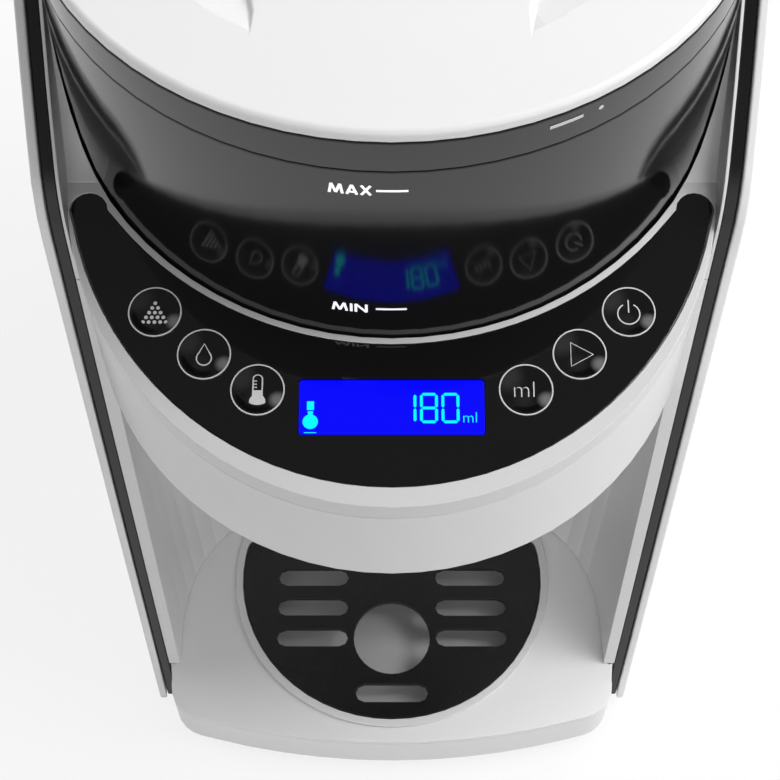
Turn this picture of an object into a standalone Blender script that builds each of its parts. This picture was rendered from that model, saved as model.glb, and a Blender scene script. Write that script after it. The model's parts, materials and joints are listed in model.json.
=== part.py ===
"""Baby formula maker: a counter-top machine that heats water, doses powder and mixes both into a bottle.

Metres, +Z up, front towards -Y. The origin is on the counter, under the axis of the round powder container.
"""

import math

import bmesh
import bpy
from mathutils import Matrix, Vector

# Clearances
SEAT_GAP = 0.0003
RUN_GAP = 0.0005
OVERRUN = 0.010
FAR = 0.400
WELD = 0.00001
FLAT = math.radians(0.05)
SHARP_ANGLE = math.radians(35.0)
GROWN_SLOPE_LEAST = 0.5
STEP_SLOPE = 0.00005

# Powder container and its recess
CONTAINER_RADIUS = 0.1095
CONTAINER_WALL = 0.0025
CONTAINER_HEIGHT = 0.0937
RECESS_GAP = 0.0018
OUTLET_MARGIN = 0.0120
OUTLET_RADIUS = 0.0085

# Side walls of the body, from the outside inwards
PANEL_WALL = 0.0030
TRIM_WALL = 0.0038
RIM_WALL = 0.0010
SHROUD_MARGIN = 0.0011
SHELL_WALL = 0.0025

# Plan of the body: each side is one long arc, widest behind the container
SIDE_RADIUS = 1.687
WIDEST_BACK = 0.070
SIDE_LEAN = 0.0298
REAR_CORNER_SHARE = 0.865
TANK_REACH = 0.0520
PANEL_LAP = 0.0036
FRONT_MARGIN = 0.0062
FRONT_RADIUS = 0.300
FRONT_CORNER = 0.014
CORNER_RUN_SHARE = 1.1

# Heights, stacked from the counter
FOOT_HEIGHT = 0.0057
FOOT_CHAMFER_SHARE = 0.25
FOOT_SOLE_SHARE = 0.9
PAN_HEIGHT = 0.0212
DECK_WALL = 0.0025
BAY_HEIGHT = 0.160
DRIVE_HEIGHT = 0.0457
CRADLE_FLOOR = 0.0030
RING_HEIGHT = 0.0121
LIP_HEIGHT = 0.0043
BODY_RISE = 0.0050

# Front edge of the side panels: it leans back, bends at a knee and rounds into the top
EDGE_RUN = 0.0700
KNEE_SETBACK = 0.0388
KNEE_DROP = 0.0720
KNEE_RADIUS = 0.035
SHOULDER_RUN = 0.1005
SHOULDER_RADIUS = 0.040
TRIM_RECESS = 0.0015
TRIM_DEPTH = 0.0120

# Bottle bay
BAY_SETBACK = 0.0125
BAY_MARGIN = 0.0045
BAY_POWER = 3.0
BAY_STEPS = 12

# Head: the bowl and the tilted control panel on it
BOWL_SETBACK = 0.0053
BOWL_STRETCH = 0.0090
BOWL_ADVANCE = 0.0547
BOWL_FLOOR = 0.0025
PANEL_TILT = math.radians(9.64)
PANEL_SETBACK = 0.0164
PANEL_RISE = 0.0127
BEZEL_THICKNESS = 0.0076
BEZEL_ROUND = 0.0040
BEZEL_ROUND_STEPS = 3
BEZEL_TIP_MARGIN = 0.0041
SCOOP_RUN = 0.046
SCOOP_RISE = 0.052
SCOOP_BEND_SHARE = 0.33

# Control glass, in the plane of the panel
GLASS_THICKNESS = 0.0020
GLASS_FRONT_MARGIN = 0.0066
GLASS_RIM = 0.0017
GLASS_RIM_SHIFT = 0.0022
GLASS_TIP_RADIUS = 0.0059
GLASS_TIP_INSET = 0.0080
GLASS_TIP_SINK = 0.0005
GLASS_TIP_RISE = 0.0024
GLASS_LEDGE = 0.0020
BOARD_INSET = 0.0030
TIP_BLEND_SHARE = 0.3
KEY_RADIUS = 0.0085
KEY_PLACES = {
    "powder_key": (-0.7096, 0.572),
    "water_key": (-0.5572, 0.543),
    "temperature_key": (-0.3955, 0.487),
    "unit_key": (0.3955, 0.487),
    "start_key": (0.5572, 0.543),
    "power_key": (0.7096, 0.572),
}
KEY_STEM_RADIUS = 0.0030
KEY_STEM_LENGTH = 0.0022
KEY_TRAVEL = 0.0010
LCD_KEY_GAP = 0.00455
LCD_DEPTH = 0.0178
LCD_SHARE = 0.555
LCD_FRAME = 0.0018
LCD_THICKNESS = 0.0028
BOARD_THICKNESS = 0.0016

# Powder drive
GEAR_MODULE = 0.0010
GEAR_TEETH = 45
PINION_TEETH = 15
GEAR_WIDTH = 0.0070
GEAR_BACKLASH = 0.0003
GEAR_ROOT_SHARE = 1.25
PRESSURE_ANGLE = math.radians(20.0)
SHAFT_RADIUS = 0.0050
DOG_RADIUS = 0.0048
DOG_RISE = 0.0085
DOG_SIDES = 6
SPIGOT_RADIUS = 0.0040
BUSH_WALL = 0.0033
BUSH_FLANGE = 0.0023
BRACKET_WALL = 0.0030
BRACKET_POST = 0.0040
BRACKET_REACH = 0.0310
BRACKET_TAIL_SHARE = 0.7
MOTOR_RADIUS = 0.0180
MOTOR_HEIGHT = 0.0320
MOTOR_BOX_SHARE = 0.8
MOTOR_CAN_SHARE = 0.7
STUB_LENGTH = 0.0080
WHEEL_HEIGHT = 0.0100
WHEEL_POCKET = 0.0080
WHEEL_POCKETS = 8
HUB_RADIUS = 0.0076
STIRRER_POST_SHARE = 0.7
ARM_ROOT_SHARE = 0.8
STIRRER_HEIGHT = 0.0450
STIRRER_HUB = 0.0100
STIRRER_ARM = 0.0060
STIRRER_MARGIN = 0.0170
BLADE_SHARE = 0.6
STIRRER_ARMS = 3

# Powder lid
LID_OVERHANG = 0.0010
LID_CHAMFER_SHARE = 0.25
LID_WALL = 0.0042
LID_PLUG_DEPTH = 0.0090
LID_SKIRT_DEPTH = 0.0150
LID_SKIRT_INSET = 0.0020
LID_GRIP_MARGIN = 0.0250
LID_GRIP_BAR_SHARE = 0.4497
LID_GRIP_DEPTH = 0.0100
LID_FLOOR = 0.0030
SEAL_HEIGHT = 0.0022

# Mixing funnel below the head
FUNNEL_ADVANCE = 0.0270
FUNNEL_RADIUS = 0.0340
FUNNEL_SPOUT = 0.0080
FUNNEL_HEIGHT = 0.0290
FUNNEL_WALL = 0.0018
FUNNEL_RIM = 0.0030
FUNNEL_RIM_HEIGHT = 0.0018
FUNNEL_NECK_SHARE = 0.25
HOLDER_WALL = 0.0030
HOLDER_HALF_WIDTH = 0.0440
HOLDER_REACH = 0.0370
HOLDER_BACK = 0.0300
RAIL_WALL = 0.0025
RAIL_LIP = 0.0030
RAIL_RUN_SHARE = 0.7
CHUTE_WALL = 0.0020
CHUTE_RUN = 0.0190
NOZZLE_X = 0.0240
NOZZLE_RADIUS = 0.0035
NOZZLE_HEIGHT = 0.0130

# Drip tray in the deck
TRAY_MARGIN = 0.0452
TRAY_SETBACK_SHARE = 0.378
TRAY_BACK_MARGIN = 0.0160
TRAY_CORNER = 0.0060
TRAY_LIP = 0.0018
TRAY_LIP_HEIGHT = 0.0010
TRAY_WALL = 0.0015
TRAY_LEDGE = 0.0020
TRAY_DEPTH = 0.0190
TRAY_FLOOR = 0.0020
COVER_THICKNESS = 0.0022
SLOT_LENGTH_SHARE = 0.4463
SLOT_WIDTH = 0.0075
SLOT_PITCH_SHARE = 0.2053
SLOT_X_SHARE = 0.4984
SLOT_ROWS = 4
SLOT_ADVANCE_SHARE = 0.3645
DRAIN_SHARE = 0.238
DRAIN_ADVANCE_SHARE = 0.0402

# Water tank behind the container
DOCK_HEIGHT = 0.0577
DOCK_WALL = 0.0025
TANK_WALL = 0.0022
TANK_FLOOR = 0.0025
TANK_LID_HEIGHT = 0.0055
TANK_TOP_DROP = 0.0080
TANK_REAR_INSET = 0.0033
SEAT_RADIUS = 0.0160
SEAT_HEIGHT = 0.0024
SPOUT_RADIUS = 0.0085
SPOUT_DROP = 0.0100
SPOUT_BORE = 0.0030
VALVE_RADIUS = 0.0067
VALVE_HEAD = 0.0100
VALVE_HEIGHT = 0.0040
HINGE_RADIUS = 0.0020
HINGE_PIN = 0.0009
HINGE_HALF = 0.0500
HINGE_EAR = 0.0090
HINGE_SWING_SHARE = 1.42

# Water path and power
PUMP_RADIUS = 0.0140
PUMP_HEIGHT = 0.0340
PUMP_X = -0.0500
HEATER_RADIUS = 0.0220
HEATER_HEIGHT = 0.0950
HEATER_X = 0.0500
HEATER_Y = 0.0300
HEATER_NECK = 0.0060
TUBE_RADIUS = 0.0035
TUBE_ENTRY_SHARE = 0.6
TUBE_BEND_SHARE = 0.45
FEED_START_SHARE = 0.2
FEED_END_SHARE = 0.8
FEED_DROP_SHARE = 0.7
HEATER_DOME_SHARE = 0.85
BOARD_X = -0.0450
BOARD_Y = 0.0450
BOARD_HALF_X = 0.0320
BOARD_HALF_Y = 0.0450
BOARD_LEG = 0.0060
INLET_HALF_X = 0.0125
INLET_HALF_Z = 0.0095
INLET_DEPTH = 0.0150
INLET_X = 0.0550
INLET_RISE = 0.0260
INLET_WELL = 0.0080

# Base hardware
FOOT_RADIUS = 0.0100
FOOT_X = 0.0700
FOOT_MARGIN = 0.0400
SCREW_X = 0.0760
SCREW_FRONT_Y = -0.0300
SCREW_REAR_Y = 0.0900
SCREW_RADIUS = 0.0016
SCREW_HEAD = 0.0032
SCREW_HEAD_HEIGHT = 0.0020
SCREW_LENGTH = 0.0120
BOSS_RADIUS = 0.0045

# Levels worked out from the stack
PAN_BOTTOM = FOOT_HEIGHT + SEAT_GAP
PAN_TOP = PAN_BOTTOM + PAN_HEIGHT
DECK_BOTTOM = PAN_TOP + SEAT_GAP
DECK_TOP = DECK_BOTTOM + DECK_WALL
HOUSING_BOTTOM = DECK_TOP + SEAT_GAP
BOWL_BOTTOM = DECK_TOP + BAY_HEIGHT
HOUSING_TOP = BOWL_BOTTOM + DRIVE_HEIGHT
CRADLE_BOTTOM = HOUSING_TOP + SEAT_GAP
CRADLE_LEVEL = CRADLE_BOTTOM + CRADLE_FLOOR
CONTAINER_BOTTOM = CRADLE_LEVEL + SEAT_GAP
CONTAINER_TOP = CONTAINER_BOTTOM + CONTAINER_HEIGHT
RING_BOTTOM = CONTAINER_TOP + SEAT_GAP
RING_TOP = RING_BOTTOM + RING_HEIGHT
LIP_BOTTOM = RING_TOP + SEAT_GAP
LID_TOP = LIP_BOTTOM + LIP_HEIGHT
BODY_TOP = CONTAINER_TOP + BODY_RISE
KNEE_Z = BODY_TOP - KNEE_DROP
PANEL_Z = CRADLE_LEVEL + PANEL_RISE
DOCK_TOP = HOUSING_BOTTOM + DOCK_HEIGHT

# Insets from the outer face of the side panels
TRIM_INSET = PANEL_WALL + SEAT_GAP
CORE_INSET = TRIM_INSET + TRIM_WALL + SEAT_GAP
SCOOP_INSET = CORE_INSET + RIM_WALL
BEZEL_INSET = SCOOP_INSET + SEAT_GAP

# Places worked out from the container's radius
RECESS_RADIUS = CONTAINER_RADIUS + RECESS_GAP
HALF_WIDTH = RECESS_RADIUS + SHROUD_MARGIN
HOUSING_REAR = RECESS_RADIUS + SHELL_WALL + SEAT_GAP * 2
TANK_FRONT = HOUSING_REAR + SEAT_GAP * 2
PANEL_REAR = HOUSING_REAR + PANEL_LAP
REAR_REACH = PANEL_REAR + TANK_REACH
REAR_CORNER = TANK_REACH * REAR_CORNER_SHARE
SPOUT_Y = (HOUSING_REAR + REAR_REACH) / 2
PUMP_Y = SPOUT_Y
OUTLET_REACH = CONTAINER_RADIUS - CONTAINER_WALL - OUTLET_MARGIN
STIRRER_REACH = CONTAINER_RADIUS - CONTAINER_WALL - STIRRER_MARGIN
FUNNEL_Y = -OUTLET_REACH - FUNNEL_ADVANCE
KNEE_Y = KNEE_SETBACK - RECESS_RADIUS
EDGE_FOOT_Y = KNEE_Y - EDGE_RUN
SHOULDER_Y = KNEE_Y + SHOULDER_RUN
BAY_BACK_Y = KNEE_Y + BAY_SETBACK
PANEL_Y = PANEL_SETBACK - RECESS_RADIUS
LID_GRIP_RADIUS = CONTAINER_RADIUS - LID_GRIP_MARGIN
LID_GRIP_HALF_BAR = LID_GRIP_RADIUS * LID_GRIP_BAR_SHARE
BOWL_HALF_WIDTH = RECESS_RADIUS - BOWL_SETBACK
BOWL_REACH = BOWL_HALF_WIDTH + BOWL_STRETCH
BOWL_Y = BOWL_REACH - RECESS_RADIUS - BOWL_ADVANCE
TRAY_RADIUS = HALF_WIDTH - TRAY_MARGIN
DRAIN_RADIUS = TRAY_RADIUS * DRAIN_SHARE
SLOT_LENGTH = TRAY_RADIUS * SLOT_LENGTH_SHARE
SLOT_PITCH = TRAY_RADIUS * SLOT_PITCH_SHARE
SLOT_X = TRAY_RADIUS * SLOT_X_SHARE
SLOT_ADVANCE = TRAY_RADIUS * SLOT_ADVANCE_SHARE
TRAY_Y = FUNNEL_Y + TRAY_RADIUS * TRAY_SETBACK_SHARE
TRAY_BACK_Y = BAY_BACK_Y - TRAY_BACK_MARGIN
DRAIN_Y = FUNNEL_Y - TRAY_RADIUS * DRAIN_ADVANCE_SHARE
SLOT_FRONT_Y = DRAIN_Y - SLOT_ADVANCE
FRONT_REACH = TRAY_RADIUS - TRAY_Y + FRONT_MARGIN

# Control glass in the plane of the panel: an ellipse in front, a circle round the recess behind
GLASS_HALF_WIDTH = BOWL_HALF_WIDTH - SEAT_GAP
GLASS_TIP_U = BOWL_HALF_WIDTH - GLASS_TIP_INSET
GLASS_FRONT_V = (BOWL_Y - BOWL_REACH + GLASS_FRONT_MARGIN - PANEL_Y) / math.cos(PANEL_TILT)
GLASS_INNER_RADIUS = RECESS_RADIUS + GLASS_RIM
GLASS_INNER_CENTRE = -PANEL_Y / math.cos(PANEL_TILT) - GLASS_RIM_SHIFT
GLASS_TIP_CHORD = math.sqrt(GLASS_INNER_RADIUS**2 - (GLASS_TIP_U - GLASS_TIP_RADIUS) ** 2)
GLASS_TIP_V = GLASS_INNER_CENTRE - GLASS_TIP_CHORD - GLASS_TIP_SINK
BEZEL_REAR_Y = PANEL_Y + (GLASS_TIP_V + GLASS_TIP_RADIUS) * math.cos(PANEL_TILT) + BEZEL_TIP_MARGIN
GLASS_TIP_FALL = math.sqrt(1 - ((GLASS_TIP_U + GLASS_TIP_RADIUS) / GLASS_HALF_WIDTH) ** 2)
GLASS_CENTRE = (GLASS_TIP_V + GLASS_TIP_RISE - GLASS_FRONT_V * GLASS_TIP_FALL) / (1 - GLASS_TIP_FALL)
GLASS_REACH = GLASS_CENTRE - GLASS_FRONT_V
LCD_WIDTH = (KEY_PLACES["unit_key"][0] * GLASS_HALF_WIDTH - KEY_RADIUS - LCD_KEY_GAP) * 2

FOOT_PLACES = {
    "foot_1": (-FOOT_X, FOOT_MARGIN - FRONT_REACH),
    "foot_2": (FOOT_X, FOOT_MARGIN - FRONT_REACH),
    "foot_3": (-FOOT_X, REAR_REACH - FOOT_MARGIN),
    "foot_4": (FOOT_X, REAR_REACH - FOOT_MARGIN),
}
SCREW_PLACES = {
    "base_screw_1": (-SCREW_X, SCREW_FRONT_Y),
    "base_screw_2": (SCREW_X, SCREW_FRONT_Y),
    "base_screw_3": (-SCREW_X, SCREW_REAR_Y),
    "base_screw_4": (SCREW_X, SCREW_REAR_Y),
}
WIDE_SIDES = 72
BIG_SIDES = 48
ROUND_SIDES = 32
SMALL_SIDES = 20
FINE_SIDES = 16
PIN_SIDES = 12
PORT_STEPS = 2
HOLE_STEPS = 4
CHUTE_STEPS = 5
FRONT_STEPS = 5
SIDE_STEPS = 10
WALL_STEPS = 14
TANK_STEPS = 3
CORNER_STEPS = 8
TRAY_STEPS = 32
GLASS_STEPS = 40
TIP_STEPS = 8
SMALL_CORNER_STEPS = 3
SCOOP_STEPS = 8
BEND_STEPS = 3

FINISHES = {
    "white": ("ECECEC", 0.38, 0.0),
    "pale": ("C9C9C9", 0.35, 0.0),
    "black": ("141414", 0.25, 0.0),
    "glass_black": ("151515", 0.05, 0.0),
    "smoke": ("4A4A4A", 0.08, 0.0),
    "clear": ("C4CCD0", 0.08, 0.0),
    "lcd": ("0A2CFF", 0.20, 0.0),
    "grey": ("6C6C6C", 0.45, 0.0),
    "rubber": ("2A2A2A", 0.80, 0.0),
    "steel": ("B8B8B8", 0.30, 1.0),
    "brass": ("B89A5A", 0.35, 1.0),
    "board": ("1E5A33", 0.50, 0.0),
    "silicone": ("DADADA", 0.60, 0.0),
}


def linear(byte):
    """One sRGB byte as a linear value."""
    value = byte / 255
    return value / 12.92 if value <= 0.04045 else ((value + 0.055) / 1.055) ** 2.4


def collection(name):
    group = bpy.data.collections.get(name) or bpy.data.collections.new(name)
    if name not in bpy.context.scene.collection.children:
        bpy.context.scene.collection.children.link(group)
    return group


def scratch(name, data):
    """A new object that isn't a part yet."""
    item = bpy.data.objects.new(name, data)
    collection("cutters").objects.link(item)
    item.hide_render = True
    item.display_type = "WIRE"
    return item


def settled(item, name):
    """The evaluated shape of an object as a plain closed mesh, and the object removed."""
    bpy.context.view_layer.update()
    graph = bpy.context.evaluated_depsgraph_get()
    mesh = bpy.data.meshes.new_from_object(item.evaluated_get(graph), depsgraph=graph)
    mesh.transform(item.matrix_world)
    form = bmesh.new()
    form.from_mesh(mesh)
    bmesh.ops.remove_doubles(form, verts=form.verts, dist=WELD)
    bmesh.ops.dissolve_limit(form, angle_limit=FLAT, verts=form.verts, edges=form.edges)
    bmesh.ops.recalc_face_normals(form, faces=form.faces)
    form.to_mesh(mesh)
    form.free()
    bpy.data.objects.remove(item)
    mesh.name = name
    return scratch(name, mesh)


def prism(name, loops, low, high):
    """A flat outline, with holes where more loops are given, stood up between two heights."""
    curve = bpy.data.curves.new(name, "CURVE")
    curve.dimensions = "2D"
    curve.fill_mode = "BOTH"
    curve.extrude = (high - low) / 2
    for loop in loops:
        spline = curve.splines.new("POLY")
        spline.points.add(len(loop) - 1)
        for point, (x, y) in zip(spline.points, loop):
            point.co = (x, y, 0, 1)
        spline.use_cyclic_u = True
    item = scratch(name, curve)
    item.location.z = (high + low) / 2
    return settled(item, name)


def side_prism(name, loops, left, right):
    """A prism whose outline is in (Y, Z) and which runs along X."""
    item = prism(name, loops, left, right)
    item.data.transform(Matrix(((0, 0, 1, 0), (1, 0, 0, 0), (0, 1, 0, 0), (0, 0, 0, 1))))
    return item


def turned(name, profile, sides, centre=(0, 0)):
    """A profile of (radius, height) points turned about a vertical axis."""
    form = bmesh.new()
    points = [form.verts.new((radius, 0, height)) for radius, height in profile]
    for first, second in zip(points, points[1:]):
        form.edges.new((first, second))
    if profile[0][0] > 0:
        form.edges.new((points[-1], points[0]))
    mesh = bpy.data.meshes.new(name)
    form.to_mesh(mesh)
    form.free()
    item = scratch(name, mesh)
    item.location = (*centre, 0)
    screw = item.modifiers.new("turn", "SCREW")
    screw.axis = "Z"
    screw.steps = sides
    screw.render_steps = sides
    screw.use_merge_vertices = True
    screw.merge_threshold = WELD
    return settled(item, name)


def pipe(name, route, radius, sides=2):
    """A tube along a route with filled ends."""
    curve = bpy.data.curves.new(name, "CURVE")
    curve.dimensions = "3D"
    curve.bevel_depth = radius
    curve.bevel_resolution = sides
    curve.use_fill_caps = True
    spline = curve.splines.new("POLY")
    spline.points.add(len(route) - 1)
    for point, place in zip(spline.points, route):
        point.co = (*place, 1)
    return settled(scratch(name, curve), name)


def rod(name, radius, low, high, centre, sides=SMALL_SIDES):
    """An upright cylinder."""
    return turned(name, [(0, high), (radius, high), (radius, low), (0, low)], sides, centre)


def block(name, low, high):
    """A box between two corners."""
    loop = [(low[0], low[1]), (high[0], low[1]), (high[0], high[1]), (low[0], high[1])]
    return prism(name, [loop], low[2], high[2])


def change(target, operation, *tools):
    """Cuts, joins or keeps the common space, with each tool left as a hidden guide."""
    for tool in tools:
        step = target.modifiers.new(operation.lower(), "BOOLEAN")
        step.operation = operation
        step.solver = "EXACT"
        step.object = tool
    return target


def cut(target, *tools):
    return change(target, "DIFFERENCE", *tools)


def join(target, *tools):
    return change(target, "UNION", *tools)


def keep(target, *tools):
    return change(target, "INTERSECT", *tools)


def copied(item, name, moved=(0, 0, 0), flipped=False):
    """A separate solid of the same shape, moved or mirrored across the middle plane."""
    bpy.context.view_layer.update()
    graph = bpy.context.evaluated_depsgraph_get()
    mesh = bpy.data.meshes.new_from_object(item.evaluated_get(graph), depsgraph=graph)
    mesh.transform(item.matrix_world)
    mesh.transform(Matrix.Translation(moved))
    if flipped:
        mesh.transform(Matrix.Diagonal((-1, 1, 1, 1)))
        mesh.flip_normals()
    mesh.name = name
    return scratch(name, mesh)


def part(item, name, finish, origin=(0, 0, 0), parent=None):
    """Makes a shape a finished part: its name, its own material, its origin and its shading."""
    cutters = collection("cutters")
    cutters.objects.unlink(item)
    collection("formula_maker").objects.link(item)
    item.name = name
    item.hide_render = False
    item.display_type = "TEXTURED"
    colour, roughness, metallic = FINISHES[finish]
    material = bpy.data.materials.new(name)
    material.use_nodes = True
    shader = material.node_tree.nodes["Principled BSDF"]
    levels = [linear(int(colour[at : at + 2], 16)) for at in (0, 2, 4)]
    shader.inputs["Base Color"].default_value = (*levels, 1)
    shader.inputs["Roughness"].default_value = roughness
    shader.inputs["Metallic"].default_value = metallic
    item.data.materials.clear()
    item.data.materials.append(material)
    item.data.shade_smooth()
    item.data.set_sharp_from_angle(angle=SHARP_ANGLE)
    if parent is not None:
        item.parent = parent
    if any(origin):
        item.data.transform(Matrix.Translation(-Vector(origin)))
        item.location = origin
    return item


def circle(radius, centre=(0, 0), sides=WIDE_SIDES):
    turns = [math.tau * step / sides for step in range(sides)]
    return [(centre[0] + radius * math.cos(turn), centre[1] + radius * math.sin(turn)) for turn in turns]


def arc(centre, radius, start, end, steps):
    """Points on a circle between two angles in degrees, both ends included."""
    turns = [math.radians(start + (end - start) * step / steps) for step in range(steps + 1)]
    return [(centre[0] + radius * math.cos(turn), centre[1] + radius * math.sin(turn)) for turn in turns]


def rounded(corners, radii, steps=5):
    """A polygon whose corners are rounded by the radii given."""
    points = []
    count = len(corners)
    for index, (corner, radius) in enumerate(zip(corners, radii)):
        here = Vector(corner)
        if radius == 0:
            points.append(tuple(here))
            continue
        before = (Vector(corners[index - 1]) - here).normalized()
        after = (Vector(corners[(index + 1) % count]) - here).normalized()
        half = before.angle(after) / 2
        reach = radius / math.tan(half)
        first = here + before * reach
        last = here + after * reach
        middle = here + (before + after).normalized() * (radius / math.sin(half))
        for step in range(steps + 1):
            share = step / steps
            spoke = (first - middle).slerp(last - middle, share)
            points.append(tuple(middle + spoke * radius))
    return points


def mirrored(half):
    """A closed loop from its right half, which runs from the front to the back."""
    return half + [(-x, y) for x, y in reversed(half) if x > WELD]


def side_at(y, inset=0.0):
    """Half width of the body at the counter."""
    return HALF_WIDTH - (y - WIDEST_BACK) ** 2 / (2 * SIDE_RADIUS) - inset


def lean_at(z):
    """How much wider the body is at a height than at the counter."""
    return 1 + SIDE_LEAN * z / HALF_WIDTH


def lean(item):
    """Widens a shape with height, as the body's sides do."""
    for vertex in item.data.vertices:
        vertex.co.x *= lean_at(vertex.co.z)
    return item


def side_run(start, end, inset, steps=SIDE_STEPS):
    """Right side of the body from one depth to another."""
    places = [start + (end - start) * step / steps for step in range(steps + 1)]
    return [(side_at(y, inset), y) for y in places]


def rear_run(inset, reach_inset):
    """Rear right corner of the body, as far as its straight back."""
    radius = REAR_CORNER - reach_inset
    corner_y = REAR_REACH - REAR_CORNER
    centre = (side_at(corner_y, inset) - radius, REAR_REACH - reach_inset - radius)
    return arc(centre, radius, 0, 90, CORNER_STEPS)


def front_run(inset, wall):
    """Front right quarter of the base, from the middle to the side."""
    reach = FRONT_REACH - wall
    radius = FRONT_RADIUS - wall
    turn_y = EDGE_FOOT_Y + wall
    side = side_at(turn_y, inset + wall)
    front = []
    for step in range(FRONT_STEPS + 1):
        x = (side - FRONT_CORNER * CORNER_RUN_SHARE) * step / FRONT_STEPS
        front.append((x, -reach + radius - math.sqrt(radius * radius - x * x)))
    last_x, last_y = front[-1]
    slope = last_x / math.sqrt(radius * radius - last_x * last_x)
    corner = (side, last_y + slope * (side - last_x))
    return rounded(front + [corner, (side, turn_y)], [0] * len(front) + [FRONT_CORNER - wall, 0])


def base_loop(wall):
    """Outline of the base: inside the trim at the sides, flush with the panels behind them."""
    side = side_run(EDGE_FOOT_Y + wall, PANEL_REAR + wall, CORE_INSET + wall)
    rear_start = PANEL_REAR + SEAT_GAP + wall
    step_in = [(side[-1][0], rear_start - STEP_SLOPE)]
    rear = [(side_at(rear_start, wall), rear_start)] + rear_run(wall, wall)
    return mirrored(front_run(CORE_INSET, wall) + side[1:-1] + step_in + rear)


def edge_line(offset):
    """Front edge of the side panels in (Y, Z), from the counter to the back, moved inwards by an offset."""
    corners = [(EDGE_FOOT_Y, PAN_BOTTOM), (KNEE_Y, KNEE_Z), (SHOULDER_Y, BODY_TOP), (FAR, BODY_TOP)]
    lines = []
    for (y0, z0), (y1, z1) in zip(corners, corners[1:]):
        run = Vector((y1 - y0, z1 - z0)).normalized()
        inwards = Vector((run.y, -run.x)) * offset
        lines.append((Vector((y0, z0)) + inwards, run))
    crossings = []
    for (place, run), (other, way) in zip(lines, lines[1:]):
        along = (other - place).cross(way) / run.cross(way)
        crossings.append(tuple(place + run * along))
    place, run = lines[0]
    foot = place + run * ((PAN_BOTTOM - OVERRUN - place.y) / run.y)
    ends = [tuple(foot)] + crossings + [(FAR, BODY_TOP - offset)]
    return rounded(ends, [0, KNEE_RADIUS - offset, SHOULDER_RADIUS - offset, 0])


def edge_y(z):
    """Depth of the straight part of the front edge at a height."""
    return EDGE_FOOT_Y + (KNEE_Y - EDGE_FOOT_Y) * (z - PAN_BOTTOM) / (KNEE_Z - PAN_BOTTOM)


def before_edge(name, offset):
    """All the space in front of and above the front edge."""
    line = edge_line(offset)
    loop = line + [(FAR, FAR), (-FAR, FAR), (-FAR, line[0][1])]
    return side_prism(name, [loop], -FAR, FAR)


def behind_edge(name, offset):
    """All the space behind and below the front edge."""
    line = edge_line(offset)
    return side_prism(name, [line + [(FAR, line[0][1])]], -FAR, FAR)


def edge_band(name, near, far):
    """The band between two offsets of the front edge."""
    outer = edge_line(near)
    inner = edge_line(far)
    return side_prism(name, [outer + inner[::-1]], -FAR, FAR)


def side_wall(name, outer, inner, start, end, low, high):
    """One leaning wall on the right side between two insets."""
    loop = side_run(start, end, outer, WALL_STEPS) + side_run(start, end, inner, WALL_STEPS)[::-1]
    return lean(prism(name, [loop], low, high))


def panel_level(y, below=0.0):
    """Height of the tilted control panel at a depth."""
    return PANEL_Z + math.tan(PANEL_TILT) * (y - PANEL_Y) - below / math.cos(PANEL_TILT)


def above_panel(name, below, rear=FAR):
    """All the space above a plane parallel to the control panel."""
    loop = [(-FAR, panel_level(-FAR, below)), (rear, panel_level(rear, below))]
    loop += [(rear, FAR), (-FAR, FAR)]
    return side_prism(name, [loop], -FAR, FAR)


def bay_half(y_front, half, wall):
    """Half of the bay's section from its mouth to its back, a rounded U."""
    back = BAY_BACK_Y + wall
    points = [(half + wall, y_front - FAR / 4)]
    for step in range(BAY_STEPS + 1):
        turn = math.pi / 2 * step / BAY_STEPS
        x = (half + wall) * math.cos(turn) ** (2 / BAY_POWER)
        y = y_front + (back - y_front) * math.sin(turn) ** (2 / BAY_POWER)
        points.append((x, y))
    return points


def bay_space(name, wall, low, high):
    """The bay as a loft between its section at the deck and its section under the head."""
    form = bmesh.new()
    rings = []
    for level in (low, high):
        y_front = edge_y(level)
        half = side_at(y_front, CORE_INSET + BAY_MARGIN) * lean_at(level)
        loop = mirrored_open(bay_half(y_front, half, wall))
        ring = [form.verts.new((x, y, level)) for x, y in loop]
        edges = [form.edges.new((ring[index - 1], ring[index])) for index in range(len(ring))]
        rings.append((ring, edges))
    bmesh.ops.bridge_loops(form, edges=rings[0][1] + rings[1][1])
    for ring, _ in rings:
        form.faces.new(ring)
    bmesh.ops.recalc_face_normals(form, faces=form.faces)
    mesh = bpy.data.meshes.new(name)
    form.to_mesh(mesh)
    form.free()
    return scratch(name, mesh)


def mirrored_open(half):
    """Both halves of a section, as one loop."""
    return half + [(-x, y) for x, y in reversed(half) if abs(x) > WELD]


def tray_loop(inset):
    """Outline of the drip tray: most of a circle, with a straight back."""
    radius = TRAY_RADIUS - inset
    turn = math.degrees(math.asin((TRAY_BACK_Y - inset - TRAY_Y) / radius))
    front = arc((0, TRAY_Y), radius, 180 - turn, 360 + turn, TRAY_STEPS)
    corner = TRAY_CORNER - inset / 2
    return rounded(front, [corner] + [0] * (len(front) - 2) + [corner], SMALL_CORNER_STEPS)


def slot_loop(x, y, length, width, steps=HOLE_STEPS):
    """A slot with round ends along X."""
    radius = width / 2
    reach = length / 2 - radius
    return arc((x + reach, y), radius, -90, 90, steps) + arc((x - reach, y), radius, 90, 270, steps)


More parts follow.
